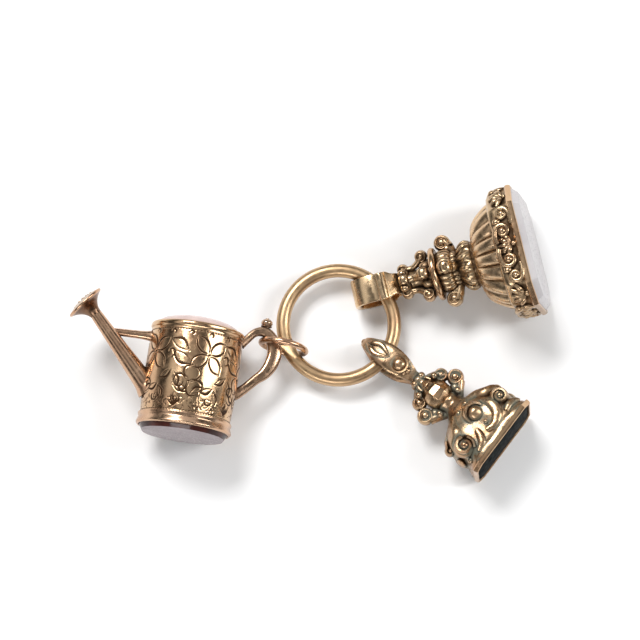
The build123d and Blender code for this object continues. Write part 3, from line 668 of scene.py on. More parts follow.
def superellipse(
    width: float, tall: float, squareness: float, count: int, swell: Callable[[float], float]
) -> list[tuple[float, float]]:
    """Returns the points of a rounded outline.

    Args:
        width: Its size along X.
        tall: Its size along Y.
        squareness: 2 for an ellipse, more for a squarer outline.
        count: The number of points.
        swell: A factor on the outline for each angle, such as lobes.
    """
    points = []
    for turn, c, s in turns(count):
        reach = (abs(c / (width / 2)) ** squareness + abs(s / (tall / 2)) ** squareness) ** (-1 / squareness)
        reach *= swell(turn)
        points.append((reach * c, reach * s))
    return points


def cut_corners(width: float, tall: float, cut: float) -> list[tuple[float, float]]:
    """Returns the eight points of a rectangle with cut corners."""
    x, y = width / 2, tall / 2
    half = [(x, -y + cut), (x, y - cut), (x - cut, y), (-x + cut, y)]
    return half + [(-one, -two) for one, two in half]


def divided(points: Rows, pieces: int) -> list[tuple[float, float]]:
    """Divides each side of a closed outline into equal pieces."""
    made = []
    for one, two in zip(points, [*points[1:], points[0]]):
        for step in range(pieces):
            share = step / pieces
            made.append((one[0] + (two[0] - one[0]) * share, one[1] + (two[1] - one[1]) * share))
    return made


def at_height(points: Rows, height: float) -> list[Vector]:
    """Returns an outline's points at a height."""
    return [Vector((x, y, height)) for x, y in points]


def lobes(count: int, depth: float, turn_start: float = 0.0) -> Callable[[float], float]:
    """Returns the factor of lobes round an outline, with sharp valleys between them.

    Args:
        count: The number of lobes.
        depth: The valleys' depth as a share of the outline.
        turn_start: 0 for a valley at the first turn, half of pi for a peak.
    """
    return lambda turn: 1 - depth * (1 - abs(math.sin(count * turn / 2 + turn_start)) ** 0.7)


@dataclass
class SplitRing:
    """A ring of two half-round coils, flats together, with the climb from one to the other."""

    wire: float = 2.4
    gap: float = 0.1
    climb_start: float = 199.5
    climb_turn: float = 19.0
    climb_gap: float = 2.5

    def section(self, turn: float, top: float) -> list[Vector]:
        """Returns the wire's section at an angle.

        Args:
            turn: The angle in degrees.
            top: 1 for the upper coil, 0 for the lower one, between for the climb.
        """
        half = self.wire / 2
        rise = half - self.gap / 2
        angle = math.radians(turn)
        spots = []
        for _, c, s in turns(28):
            reach = RING_RADIUS + half * c
            upper = self.gap / 2 + rise * max(s, 0.0)
            lower = -self.gap / 2 + rise * min(s, 0.0)
            middle = rise * 0.5 * s
            if top >= 0.5:
                height = middle + (upper - middle) * (2 * top - 1)
            else:
                height = lower + (middle - lower) * (2 * top)
            spots.append(Vector((reach * math.cos(angle), reach * math.sin(angle), height)))
        return spots

    def build(self, maker: Maker) -> None:
        """Builds and dresses the ring."""
        steps, climb_steps = 150, 10
        climb_end = self.climb_start + self.climb_turn
        start = climb_end + self.climb_gap
        run = 360.0 - self.climb_turn - self.climb_gap
        rows = [self.section(start + run * step / steps, 0.0) for step in range(steps + 1)]
        for step in range(1, climb_steps):
            share = step / climb_steps
            rows.append(self.section(self.climb_start + self.climb_turn * share, share))
        rows += [self.section(climb_end + run * step / steps, 1.0) for step in range(steps + 1)]
        bm = bmesh.new()
        loft(bm, rows)
        maker.piece("split_ring_coils", bm, "split_ring", RING_GOLD, crease=50)


@dataclass
class JumpRing:
    """The wire link between the split ring and the can's handle."""

    outside: float = 9.0
    wire: float = 1.1
    x: float = -9.72
    y: float = -4.1
    heading: float = -12.3
    lean: float = 4.0

    def build(self, maker: Maker) -> None:
        """Builds and dresses the link."""
        radius = (self.outside - self.wire) / 2
        height = radius * math.cos(math.radians(self.lean)) + self.wire / 2
        heading = Matrix.Rotation(math.radians(self.heading), 4, "Z")
        stand = heading @ Matrix.Rotation(math.radians(90 - self.lean), 4, "X")
        place = Matrix.Translation((RING_CENTRE[0] + self.x, RING_CENTRE[1] + self.y, height))
        outline = [(radius + self.wire / 2 * c, self.wire / 2 * s) for _, c, s in turns(20)]
        outline.append(outline[0])
        maker.lathe("jump_ring_wire", outline, 120, "jump_ring", ROSY_GOLD, matrix=place @ stand)


def beside(u: float, v: float, angle: float, along: float, aside: float = 0.0) -> tuple[float, float]:
    """Returns the spot that lies along and aside of (u, v) when looking at an angle in degrees."""
    c, s = math.cos(math.radians(angle)), math.sin(math.radians(angle))
    return u + c * along - s * aside, v + s * along + c * aside


class Cut:
    """Engraved strokes on a cylinder that is rolled out flat, with U round it and V up it in millimetres."""

    def __init__(self, radius: float, height: float, columns: int, rows: int) -> None:
        """Starts an uncut surface.

        Args:
            radius: The cylinder's radius.
            height: Its height.
            columns: The number of points round it.
            rows: The number of points up it.
        """
        self.grid = np.zeros((rows, columns))
        self.round = 2 * math.pi * radius
        self.step_u = self.round / columns
        self.step_v = height / (rows - 1)

    def stroke(self, spots: Rows, width: float, depth: float = 1.0, taper: bool = True) -> None:
        """Cuts a stroke through spots.

        Args:
            spots: U and V at each of the stroke's spots.
            width: Its width at the middle.
            depth: Its depth, where 1 is a full cut.
            taper: Whether it narrows to both ends.
        """
        line = smooth_path(spots, 5) if len(spots) > 2 else spots
        count = len(line) - 1
        rows, columns = self.grid.shape
        for number, ((u_one, v_one), (u_two, v_two)) in enumerate(zip(line, line[1:])):
            full = math.sin(math.pi * clamp((number + 0.5) / count, 0.06, 0.94)) if taper else 1.0
            half = width / 2 * full + 0.03
            low_u, high_u = min(u_one, u_two) - half, max(u_one, u_two) + half
            low_v, high_v = min(v_one, v_two) - half, max(v_one, v_two) + half
            us = np.arange(math.floor(low_u / self.step_u), math.ceil(high_u / self.step_u) + 1)
            top = min(rows - 1, math.ceil(high_v / self.step_v))
            vs = np.arange(max(0, math.floor(low_v / self.step_v)), top + 1)
            if not len(us) or not len(vs):
                continue
            u, v = np.meshgrid(us * self.step_u, vs * self.step_v)
            du, dv = u_two - u_one, v_two - v_one
            share = np.clip(((u - u_one) * du + (v - v_one) * dv) / max(du * du + dv * dv, 1e-9), 0, 1)
            away = np.hypot(u - u_one - share * du, v - v_one - share * dv)
            cut = depth * np.clip(1 - (away / half) ** 2, 0, 1) * min(1.0, half / 0.1)
            index = np.ix_(vs.astype(int), (us % columns).astype(int))
            self.grid[index] = np.maximum(self.grid[index], cut)

    def petal(self, u: float, v: float, angle: float, length: float, width: float) -> None:
        """Cuts a pointed petal from two curved strokes, out from (u, v) at an angle in degrees."""
        for side in (-width, width):
            line = ((0.25, 0.0), (length * 0.3, side * 0.42), (length * 0.68, side * 0.48), (length, 0.0))
            self.stroke([beside(u, v, angle, *spot) for spot in line], 0.33)

    def flower(self, u: float, v: float, angle: float, petals: int, length: float, width: float) -> None:
        """Cuts a flower of petals round a short dot.

        Args:
            u: The place round of its middle.
            v: The place up of its middle.
            angle: The way that the first petal points, in degrees.
            petals: The number of petals.
            length: A petal's length.
            width: A petal's width.
        """
        for number in range(petals):
            self.petal(u, v, angle + 360 * number / petals, length, width)
        self.stroke([(u - 0.1, v), (u + 0.1, v)], 0.3, 0.9, False)

    def leaf(self, u: float, v: float, angle: float, length: float) -> None:
        """Cuts a leaf from a full curved stroke and a thin one, out from (u, v) at an angle in degrees."""
        for bow, width, depth in ((0.24, 0.46, 1.0), (-0.12, 0.2, 0.75)):
            middle = beside(u, v, angle, length * 0.5, length * bow)
            self.stroke([(u, v), middle, beside(u, v, angle, length)], width, depth)

    def curl(self, u: float, v: float, radius: float, start: float, hand: int, winds: float = 0.8) -> None:
        """Cuts a curl that winds in from its start.

        Args:
            u: The place round of its middle.
            v: The place up of its middle.
            radius: Its outer radius.
            start: The angle of its outer end, in degrees.
            hand: Which way it winds, 1 or -1.
            winds: The number of turns.
        """
        spots = []
        for step in range(9):
            share = step / 8
            turn = math.radians(start) + hand * 2 * math.pi * winds * share
            reach = radius * (1 - 0.6 * share)
            spots.append((u + reach * math.cos(turn), v + reach * math.sin(turn)))
        self.stroke(spots, 0.3)


@dataclass
class WateringCan:
    """The watering can charm: engraved barrel, two bezels and stones, spout with rose, brace and handle."""

    length: float = 18.0
    base_radius: float = 8.35
    foot_radius: float = 7.85
    belly_radius: float = 8.15
    mouth_radius: float = 8.0
    top_radius: float = 8.2
    base_height: float = 2.1
    mouth_start: float = 16.5
    wall: float = 0.7
    seal_radius: float = 7.7
    seal_face_radius: float = 7.0
    seal_rise: float = 1.1
    top_stone_radius: float = 7.2
    top_stone_rise: float = 2.0
    cut_depth: float = 0.07
    repeats: int = 5
    grains: int = 300
    notches: int = 96

    def build(self, maker: Maker) -> None:
        """Builds and dresses the charm."""
        self.barrel(maker)
        self.bezels(maker)
        self.stones(maker)
        self.spout(maker)
        self.handle(maker)
        maker.finish_node("can_base_plate", PLAIN_GOLD)

    def barrel_radius(self, height: float) -> float:
        """Returns the barrel's outer radius at a height."""
        middle = (self.base_height + self.mouth_start) / 2
        height = clamp(height, self.base_height, self.mouth_start)
        if height < middle:
            share = math.sin((height - self.base_height) / (middle - self.base_height) * math.pi / 2)
            return self.foot_radius + (self.belly_radius - self.foot_radius) * share
        share = 1 - math.cos((height - middle) / (self.mouth_start - middle) * math.pi / 2)
        return self.belly_radius + (self.mouth_radius - self.belly_radius) * share

    def engraving(self, columns: int, rows: int) -> np.ndarray:
        """Engraves flowers, leaves, curls and borders.

        Args:
            columns: The number of points round the barrel.
            rows: The number of points up it.

        Returns:
            The depth at each point, up and round.
        """
        height = self.mouth_start - self.base_height
        cut = Cut(self.belly_radius, height, columns, rows)
        pitch = cut.round / self.repeats
        for number in range(self.repeats):
            u = 1.6 + number * pitch
            odd = number % 2
            cut.flower(u, 10.2, 38 + 6 * odd, 4, 3.9, 1.9)
            cut.flower(u - 2.9, 5.3 - 0.3 * odd, 75 + 12 * odd, 3, 3.0, 2.9)
            side = u + pitch / 2
            for du, dv, angle, long in (
                (-2.2, 12.4, -28, 4.4),
                (2.6, 8.2, 152, 4.6),
                (-1.2, 7.0, 215, 2.6),
                (-0.6, 6.6, 285, 2.8),
                (-3.6, 4.6, 200, 2.6),
                (-3.4, 4.2, 290, 2.4),
                (2.4, 3.4, 150, 2.4),
                (2.7, 3.2, 30, 2.6),
            ):
                cut.leaf(side + du, dv, angle, long)
            cut.curl(side - 1.7, 10.0, 0.95, 250, 1)
            cut.curl(side + 0.4, 4.9, 1.0, 60, -1)
            cut.curl(u - 4.6, 2.3, 0.9, 120, 1)
            cut.curl(u + 0.9, 2.4, 0.9, 30, -1)
            for step in range(5):
                tip = beside(side, 0.9, 40 + 25 * step, 1.5 - 0.15 * abs(step - 2))
                cut.stroke([(side, 0.9), tip], 0.26)
            for step in range(3):
                cut.curl(u + pitch * (step - 1) / 3, height - 0.85, 0.5, 180, -1, 0.7)
        rng = np.random.default_rng(7)
        for _ in range(self.grains):
            u, v = rng.uniform(0, cut.round), rng.uniform(0.4, 2.6)
            turn = rng.uniform(0, math.pi)
            long = rng.uniform(0.2, 0.5)
            cut.stroke([(u, v), (u + long * math.cos(turn), v + long * math.sin(turn))], 0.14, 0.7, False)
        for edge in (0.3, height - 0.25):
            for number in range(self.notches):
                u = cut.round * number / self.notches
                cut.stroke([(u, edge), (u + 0.28, edge)], 0.16, 0.8, False)
        return cut.grid

    def barrel(self, maker: Maker) -> None:
        """Builds the engraved barrel."""
        columns, rows = 520, 140
        low, high = self.base_height - 0.1, self.mouth_start + 0.1
        depths = self.engraving(columns, rows)
        heights = [low + (high - low) * row / (rows - 1) for row in range(rows)]
        bm = bmesh.new()
        layer = bm.verts.layers.float.new("engraved")
        for vert in turned(bm, [(self.barrel_radius(height), height) for height in heights], columns):
            row = round((vert.co.z - low) / (high - low) * (rows - 1))
            turn = math.atan2(vert.co.x, -vert.co.y) % (2 * math.pi)
            depth = depths[row, round(turn / (2 * math.pi) * columns) % columns]
            vert[layer] = depth
            reach = math.hypot(vert.co.x, vert.co.y)
            share = (reach - self.cut_depth * depth) / reach
            vert.co.x *= share
            vert.co.y *= share
        turned(bm, [(self.foot_radius - self.wall, low), (self.mouth_radius - self.wall, high)], 96)
        maker.piece("can_barrel_engraved", bm, "can_barrel", ENGRAVED_GOLD, crease=60, recalculate=False)

    def bezels(self, maker: Maker) -> None:
        """Builds the base moulding and the rolled rim of the mouth."""
        base = [
            (self.seal_radius + 0.05, 1.6), (self.seal_radius + 0.05, 0.0), (self.base_radius - 0.25, 0.0),
            (self.base_radius, 0.3), (self.base_radius - 0.12, 0.75), (self.base_radius - 0.32, 1.35),
            (self.base_radius - 0.16, 1.72), (self.base_radius - 0.16, self.base_height),
            (self.foot_radius - 0.2, self.base_height),
        ]
        maker.lathe("can_base_moulding", rounded(base, 0.16), 160, "can_base_bezel", ROSY_GOLD, 35)
        low = self.mouth_start
        top = [
            (self.mouth_radius - 0.25, low - 0.05), (self.mouth_radius + 0.02, low - 0.02),
            (self.mouth_radius - 0.02, low + 0.35), (self.top_radius - 0.02, low + 0.62),
            (self.top_radius, low + 1.1), (self.top_radius - 0.12, self.length - 0.12),
            (self.top_radius - 0.4, self.length), (self.top_stone_radius + 0.06, self.length - 0.06),
            (self.top_stone_radius + 0.05, low + 0.6),
        ]
        maker.lathe("can_mouth_rim", rounded(top, 0.22), 160, "can_top_bezel", PLAIN_GOLD, 35)

    def stones(self, maker: Maker) -> None:
        """Builds the banded seal stone at the base and the pale domed stone in the mouth."""
        bm = bmesh.new()
        edge = (self.seal_face_radius + 0.22, -self.seal_rise * 0.68)
        turned(bm, rounded([(0.0, 1.4), (self.seal_radius, 1.4), (self.seal_radius, 0.0), edge], 0.12), 128)
        face_start = len(bm.faces)
        face = [edge, (self.seal_face_radius, -self.seal_rise), (0.0, -self.seal_rise)]
        turned(bm, rounded(face, 0.1), 128)
        second_finish(bm, face_start)
        finishes = (STONE_BAND, STONE_FACE)
        maker.piece("can_banded_stone", bm, "can_seal_stone", *finishes, crease=30, slot=Slot.BANDED_STONE)
        radius, spring = self.top_stone_radius, self.length - 0.1
        dome = [(0.0, self.mouth_start + 0.6), (radius, self.mouth_start + 0.6), (radius, spring)]
        for step in range(1, 13):
            turn = step / 12 * math.pi / 2
            dome.append((radius * math.cos(turn), spring + self.top_stone_rise * math.sin(turn)))
        maker.lathe("can_mouth_stone", dome, 128, "can_top_stone", PALE_STONE, 40, Slot.PALE_STONE)

    def spout(self, maker: Maker) -> None:
        """Builds the spout, its rose and the brace."""
        root, tip = Vector((-7.2, 0, 6.4)), Vector((-18.0, 0, 17.45))
        way = (tip - root).normalized()
        along = Matrix.Translation(root) @ way.to_track_quat("Z", "Y").to_matrix().to_4x4()
        length = (tip - root).length
        wall = [(2.3, -0.6), (2.1, 0.15), (1.86, 0.9), (1.74, 2.2), (1.52, 6.0), (1.28, 10.0)]
        wall = [(0.0, -0.6), *smooth_path([*wall, (1.07, length - 0.5), (1.0, length)], 4)]
        maker.lathe("spout_body", wall, 56, "spout_tube", ROSY_GOLD, 50, matrix=along)
        head = along @ Matrix.Translation((0, 0, length)) @ Matrix.Rotation(math.radians(8.0), 4, "X")
        bm = bmesh.new()
        flare = [(1.0, -0.3), (1.02, 0.0), (1.12, 0.5), (1.4, 1.1), (1.95, 1.75), (2.75, 2.3), (3.2, 2.5)]
        turned(bm, smooth_path(flare, 3), 96, head)
        rim_start = len(bm.faces)
        lip = [(3.2, 2.5), (3.42, 2.58), (3.54, 2.76), (3.5, 2.98), (3.35, 3.06), (3.2, 3.04)]
        turned(bm, smooth_path(lip, 3), 96, head)
        second_finish(bm, rim_start)
        # The flare takes the dark copy of the gold, which is painted shade, and the lip takes the rosy gold.
        maker.piece("rose_flare", bm, "spout_rose", SHADED_FLARE_GOLD, ROSY_GOLD, crease=60)
        bm = bmesh.new()
        plate = [(0.0, 2.9), (3.3, 2.9), (3.34, 3.06), (3.1, 3.1), (2.2, 3.4), (1.0, 3.55), (0.0, 3.58)]
        turned(bm, plate, 96, head)
        for ring, count in ((0.0, 1), (0.95, 6), (1.9, 12)):
            for _, c, s in turns(count):
                ball(bm, head @ Vector((ring * c, ring * s, 3.6 - 0.06 * ring**2)), 0.17, fine=2)
        maker.piece("rose_front", bm, "rose_plate", CHASED_GOLD, crease=50)
        bm = bmesh.new()
        stay = [
            (-7.7, 0, 15.35, 1.0, 0.9), (-8.5, 0, 15.33, 0.85, 0.78), (-10.0, 0, 15.25, 0.72, 0.68),
            (-13.0, 0, 15.1, 0.66, 0.62), (-15.2, 0, 14.98, 0.62, 0.58),
        ]
        tube(bm, stay, Vector((0, 1, 0)), sides=20)
        maker.piece("spout_stay", bm, "spout_brace", ROSY_GOLD, crease=50)

    def handle(self, maker: Maker) -> None:
        """Builds the strap handle and its knob."""
        bm = bmesh.new()
        strap = [
            (7.7, 0, 16.7, 0.95, 0.88), (8.6, 0, 17.6, 0.74, 0.82), (9.9, 0, 19.1, 0.72, 0.82),
            (11.6, 0, 19.55, 0.88, 0.9), (13.05, 0, 18.4, 1.08, 0.94), (13.8, 0, 16.4, 1.24, 0.96),
            (13.55, 0, 14.2, 1.26, 0.96), (12.6, 0, 12.3, 1.08, 0.9), (11.2, 0, 10.9, 0.88, 0.86),
            (9.6, 0, 9.1, 0.86, 0.88), (8.3, 0, 7.9, 0.95, 0.94), (7.7, 0, 7.5, 0.95, 0.95),
        ]
        tube(bm, strap, Vector((0, 1, 0)), sides=20, steps=8, power=3.2)
        # The handle takes the darker copy of the gold, which is painted shade.
        maker.piece("handle_strap", bm, "can_handle", SHADED_HANDLE_GOLD, crease=50)
        knob = [(0.0, -1.2), (0.85, -1.15), (0.6, -0.75), (0.62, -0.6), (0.95, -0.5), (1.0, -0.35)]
        knob += [(0.8, -0.25), (1.02, 0.05), (0.95, 0.45), (0.6, 0.8), (0.3, 0.9), (0.28, 1.02), (0.0, 1.06)]
        place = Matrix.Translation((11.75, 0, 21.0))
        # The knob takes the same darker gold with its painted shade.
        maker.lathe("handle_bead", knob, 48, "handle_knob", SHADED_HANDLE_GOLD, 50, matrix=place)


@dataclass
class Seal:
    """A seal whose stone has a rectangular face with cut corners."""

    name: str
    face_width: float
    face_tall: float
    face_cut: float

    def ring(self, inset: float, height: float) -> list[Vector]:
        """Returns the face's outline at a height, drawn in evenly by an inset."""
        cut = self.face_cut - inset * CORNER_SHARE
        corners = cut_corners(self.face_width - 2 * inset, self.face_tall - 2 * inset, cut)
        return at_height(divided(corners, 4), height)

    def face(self, maker: Maker, rim: Rows, stone: Rows, finish: PolishedStone, slot: Slot) -> None:
        """Builds the bezel and the stone, and dresses the plate behind it.

        Args:
            maker: The maker of the seal's pieces.
            rim: Inset and height at each corner of the bezel's section.
            stone: Inset and height at each step of the stone, from its back.
            finish: The stone's finish.
            slot: The stone's slot.
        """
        bm = bmesh.new()
        loft(bm, [self.ring(*row) for row in rim], closed=True)
        maker.piece(f"{self.name}_rim", bm, f"{self.name}_bezel", PLAIN_GOLD, crease=35)
        bm = bmesh.new()
        loft(bm, [self.ring(*row) for row in stone])
        maker.piece(f"{self.name}_stone", bm, f"{self.name}_seal_stone", finish, crease=20, slot=slot)
        maker.finish_node(f"{self.name}_backing_plate", PLAIN_GOLD)


@dataclass
class LargeSeal(Seal):
    """The large seal: strap bail, beaded stem with scrolls, ribbed dome, scrolled border and pale stone."""

    name: str = "large"
    face_width: float = 21.8
    face_tall: float = 18.9
    face_cut: float = 3.6
    dome_start: float = 17.5
    border_start: float = 22.7
    border_share: float = 0.885
    gadroons: int = 18
    brackets: int = 5
    leaves: int = 12

    def build(self, maker: Maker) -> None:
        """Builds and dresses the seal."""
        self.bail(maker)
        self.collar(maker)
        self.upper_scrolls(maker)
        self.lower_scrolls(maker)
        self.knop(maker)
        self.dome(maker)
        self.border(maker)
        rim = [(0.12, 26.15), (0.0, 26.3), (0.0, 26.75), (0.12, 27.1)]
        rim += [(0.3, 27.2), (0.48, 27.12), (0.56, 26.9), (0.56, 26.2)]
        stone = [(0.62, 26.25), (0.62, 27.1), (0.72, 27.2), (1.5, 28.12), (1.62, 28.2)]
        self.face(maker, rim, stone, CLEAR_STONE, Slot.CLEAR_STONE)

    def bail(self, maker: Maker) -> None:
        """Builds the strap bail with its reeds and neck."""
        behind, ahead = -4.95, 3.9
        hole_behind, hole_ahead = -4.05, 3.35
        middle, half = (behind + ahead) / 2, (ahead - behind) / 2
        hole_middle, hole_half = (hole_behind + hole_ahead) / 2, (hole_ahead - hole_behind) / 2
        round_off, hole_round_off = 2 / 2.6, 2 / 3.0
        upper = [(0.16, 1.0), (0.04, 0.97), (0.0, 0.9), (0.0, 0.3)]
        section = upper + [(depth, -share) for depth, share in reversed(upper)]
        section += [(0.84, -1.0), (1.0, -0.94), (1.0, 0.94), (0.84, 1.0)]
        rows = []
        for _, c, s in turns(120):
            z = middle + half * powered(c, round_off)
            y = 3.0 * powered(s, round_off)
            hole_z = hole_middle + hole_half * powered(c, hole_round_off)
            hole_y = 2.14 * powered(s, hole_round_off)
            if -0.9 < z < 1.5:
                reed = abs(math.sin(math.pi * (z + 0.9) / 0.8))
                y -= math.copysign(0.02 + 0.26 * (1 - reed**0.8), y)
            neck = clamp((z - 1.6) / 1.4)
            if abs(y) > 0.6:
                y -= math.copysign(0.45 * math.sin(neck * math.pi / 2), y)
            width = 2.4 - 0.55 * neck * neck * (3 - 2 * neck)
            rows.append(strap_section(Vector((0, y, z)), Vector((0, hole_y, hole_z)), width, section))
        bm = bmesh.new()
        loft(bm, rows, closed=True)
        # The bail takes the lighter copy of the gold, with its painted highlight.
        maker.piece("large_bail_strap", bm, "large_bail", LIT_STRAP_GOLD, crease=40)

    def collar(self, maker: Maker) -> None:
        """Builds the bead collar and the turned spool."""
        bm = bmesh.new()
        core = [(0, 3.6), (1.75, 3.65), (2.25, 4.1), (2.35, 5.3), (1.7, 5.9), (0, 5.9)]
        turned(bm, rounded(core, 0.4), 64)
        for number in range(self.brackets):
            out = spoke(number)
            roll(bm, out * 2.3 + UP * 4.75, UP.cross(out), 0.98, 0.85)
            ball(bm, spoke(number + 0.5) * 2.25 + UP * 4.6, 0.72, (1.0, 1.0, 1.1))
        maker.piece("large_beads", bm, "large_bead_collar", CHASED_GOLD)
        spool = [(0, 5.7), (1.9, 5.8), (1.65, 6.5), (1.8, 7.4), (2.35, 8.3)]
        spool += [(2.8, 9.3), (2.8, 9.9), (0, 9.95)]
        maker.lathe("large_spool", rounded(spool, 0.5), 64, "large_stem", CHASED_GOLD)

    def upper_scrolls(self, maker: Maker) -> None:
        """Builds the ring of scrolled brackets round the spool, with balls between them."""
        bm = bmesh.new()
        spots = [
            (2.2, 4.9, 0.85, 0.6), (2.15, 5.8, 0.66, 0.5), (2.2, 6.6, 0.66, 0.52), (2.6, 7.4, 0.85, 0.6),
            (3.2, 8.1, 0.95, 0.6), (3.5, 8.8, 0.85, 0.6),
        ]
        for number in range(self.brackets):
            out = spoke(number)
            bracket(bm, out, spots, out)
            roll(bm, out * 3.75 + UP * 8.5, UP.cross(out), 1.12, 0.95)
            ball(bm, spoke(number + 0.5) * 2.5 + UP * 8.95, 0.95, (0.95, 0.95, 1.2))
        maker.piece("large_upper_scroll_ring", bm, "large_upper_scrolls", CHASED_GOLD)

    def lower_scrolls(self, maker: Maker) -> None:
        """Builds the disc and the four volutes beyond it, with lobes between them."""
        disc = [(0, 9.8), (3.2, 9.8), (3.6, 9.95), (4.5, 9.9), (4.78, 10.25), (4.78, 10.6)]
        disc += [(4.5, 11.0), (3.6, 11.05), (0, 11.1)]
        maker.lathe("large_disc", rounded(disc, 0.25), 96, "large_disc_collar", PLAIN_GOLD)
        bm = bmesh.new()
        core = [(0, 10.9), (3.3, 11.0), (3.5, 12.0), (2.9, 13.6), (2.7, 14.6), (0, 14.6)]
        turned(bm, rounded(core, 0.6), 64)
        for number, reach in enumerate((5.1, 4.2, 5.1, 4.2)):
            out = spoke(number, 4, 0.0)
            across = UP.cross(out)
            spots = [(2.2, 14.5, 0.8, 0.7), (3.3, 13.9, 1.0, 0.85)]
            spots += [(reach - 0.6, 13.5, 1.1, 0.85), (reach + 0.25, 13.0, 1.1, 0.8)]
            bracket(bm, out, spots, across.cross(out))
            roll(bm, out * reach + UP * 12.55, across, 1.45, 1.15)
            ball(bm, out * (reach - 1.3) + UP * 13.2, 1.1)
        for number in (1, 3, 5, 7):
            for hand in (-0.45, 0.0, 0.45):
                lobe = spoke(number + hand, 8, 0.0)
                ball(bm, lobe * 3.05 + UP * 12.25, 1.12, (0.85, 0.85, 1.3))
                ball(bm, lobe * 2.7 + UP * 13.9, 0.55, (1.0, 1.0, 1.6))
        maker.piece("large_lower_scroll_ring", bm, "large_lower_scrolls", CHASED_GOLD)

    def knop(self, maker: Maker) -> None:
        """Builds the leaf knop: a lobed body with a leaf on each lobe."""
        bm = bmesh.new()
        rows = []
        low = 14.2
        profile = [(2.7, low), (2.85, 14.7), (3.5, 15.3), (4.1, 15.95), (4.3, 16.6), (4.2, 17.2), (3.9, 17.6)]
        for radius, height in smooth_path(profile, 5):
            depth = 0.1 * math.sin(clamp((height - low) / 3.4, 0.02, 0.98) * math.pi) ** 0.7
            shape = superellipse(2 * radius, 2 * radius, 2, 144, lobes(self.leaves, depth))
            rows.append(at_height(shape, height))
        loft(bm, rows)
        leaf = [(2.85, 14.6, 0.1, 0.12), (3.75, 15.4, 0.42, 0.28)]
        leaf += [(4.3, 16.3, 0.34, 0.24), (4.15, 17.3, 0.06, 0.08)]
        for number in range(self.leaves):
            out = spoke(number + 0.5, self.leaves, 0.0)
            bracket(bm, out, leaf, out, sides=10)
        maker.piece("large_knop", bm, "large_leaf_knop", CHASED_GOLD)

    def dome(self, maker: Maker) -> None:
        """Builds the gadrooned dome."""
        width, tall = self.face_width * self.border_share, self.face_tall * self.border_share
        outline = [
            (0.41, 0.46, 0.0, 2.0), (0.47, 0.48, 0.05, 2.0), (0.64, 0.66, 0.12, 2.1),
            (0.77, 0.79, 0.28, 2.25), (0.87, 0.885, 0.52, 2.5), (0.95, 0.955, 0.78, 2.7),
            (0.985, 0.985, 0.97, 2.85),
        ]
        rows = []
        long = self.border_start - self.dome_start + 0.1
        for across, up, place, square in smooth_path(outline, 5):
            depth = 0.115 * math.sqrt(clamp(place / 0.16)) * math.sqrt(clamp((1.03 - place) / 0.2))
            ribs = lobes(self.gadroons, depth, math.pi / 2)
            shape = superellipse(width * across, tall * up, square, self.gadroons * 14, ribs)
            rows.append(at_height(shape, self.dome_start + long * place))
        bm = bmesh.new()
        loft(bm, rows)
        maker.piece("large_dome", bm, "large_gadroon_dome", LOBED_GOLD, crease=70)

    def border(self, maker: Maker) -> None:
        """Builds the border with its scrolls and shells."""
        bm = bmesh.new()
        rows = []
        steps = ((0.86, 22.35), (0.9, 22.7), (0.92, 23.6), (0.93, 25.0), (0.955, 25.9), (0.985, 26.25))
        for share, height in steps:
            sides = cut_corners(self.face_width * share, self.face_tall * share, self.face_cut * share)
            rows.append(at_height(divided(sides, 8), height))
        loft(bm, rows)
        self.ornament(bm)
        maker.piece("large_border", bm, "large_scroll_border", CHASED_GOLD, crease=50)

    def ornament(self, bm: Mesh) -> None:
        """Adds a shell to each side of the border, and scrolls beside it on the long sides."""
        height, long_side = 24.55, 6
        corners = cut_corners(self.face_width * 0.945, self.face_tall * 0.945, self.face_cut)
        for one, two in zip(corners, [*corners[1:], corners[0]]):
            start, end = Vector((*one, height)), Vector((*two, height))
            along = (end - start).normalized()
            out = UP.cross(along).normalized()
            if out.dot(Vector((*one, 0)) + Vector((*two, 0))) < 0:
                out = -out
            long = (end - start).length
            middle = (start + end) / 2
            if long <= long_side:
                self.shell(bm, middle + UP * 1.0, along, out, 1.1)
                continue
            self.shell(bm, middle + UP * 0.9, along, out, 1.0)
            for hand in (-1, 1):
                way = along * hand
                eye = middle + way * 2.55 - UP * 0.25 + out * 0.15
                tail = [middle + way * 0.5 - UP * 1.5 + out * 0.1, middle + way * 1.5 - UP * 1.75 + out * 0.2]
                scroll(bm, eye, -UP, way, 1.8, 1.05, 1.2, 1.1, tail)
                far = middle + way * (long / 2 - 1.2) + UP * 0.3 + out * 0.15
                tail = [
                    middle + way * 3.5 + UP * 1.55 + out * 0.05,
                    middle + way * (long / 2 - 2.4) + UP * 1.65 + out * 0.1,
                ]
                scroll(bm, far, UP, way, 1.65, 0.98, 1.2, 1.05, tail)
                ball(bm, middle + way * 4.3 - UP * 0.9 + out * 0.1, 0.62, (1.0, 1.0, 1.2))
                ball(bm, middle + way * 1.0 - UP * 0.6 + out * 0.1, 0.5)

    def shell(self, bm: Mesh, base: Vector, along: Vector, out: Vector, grow: float) -> None:
        """Adds a shell of ribs that fan out towards the dome.

        Args:
            bm: The mesh.
            base: The shell's root.
            along: The way along the border.
            out: The way out from it.
            grow: The shell's size, where 1 is 2.3 mm long.
        """
        for degrees in (-60, -30, 0, 30, 60):
            lean = math.radians(degrees)
            way = (along * math.sin(lean) - UP * math.cos(lean)) * grow
            tube(
                bm,
                [
                    (*base, 0.16 * grow, 0.2 * grow),
                    (*(base + way * 1.25 + out * 0.4), 0.44 * grow, 0.42 * grow),
                    (*(base + way * 2.3 + out * 0.05), 0.26 * grow, 0.24 * grow),
                ],
                out,
                sides=10,
                steps=4,
            )
        ball(bm, base + out * 0.2 + UP * 0.25, 0.55)


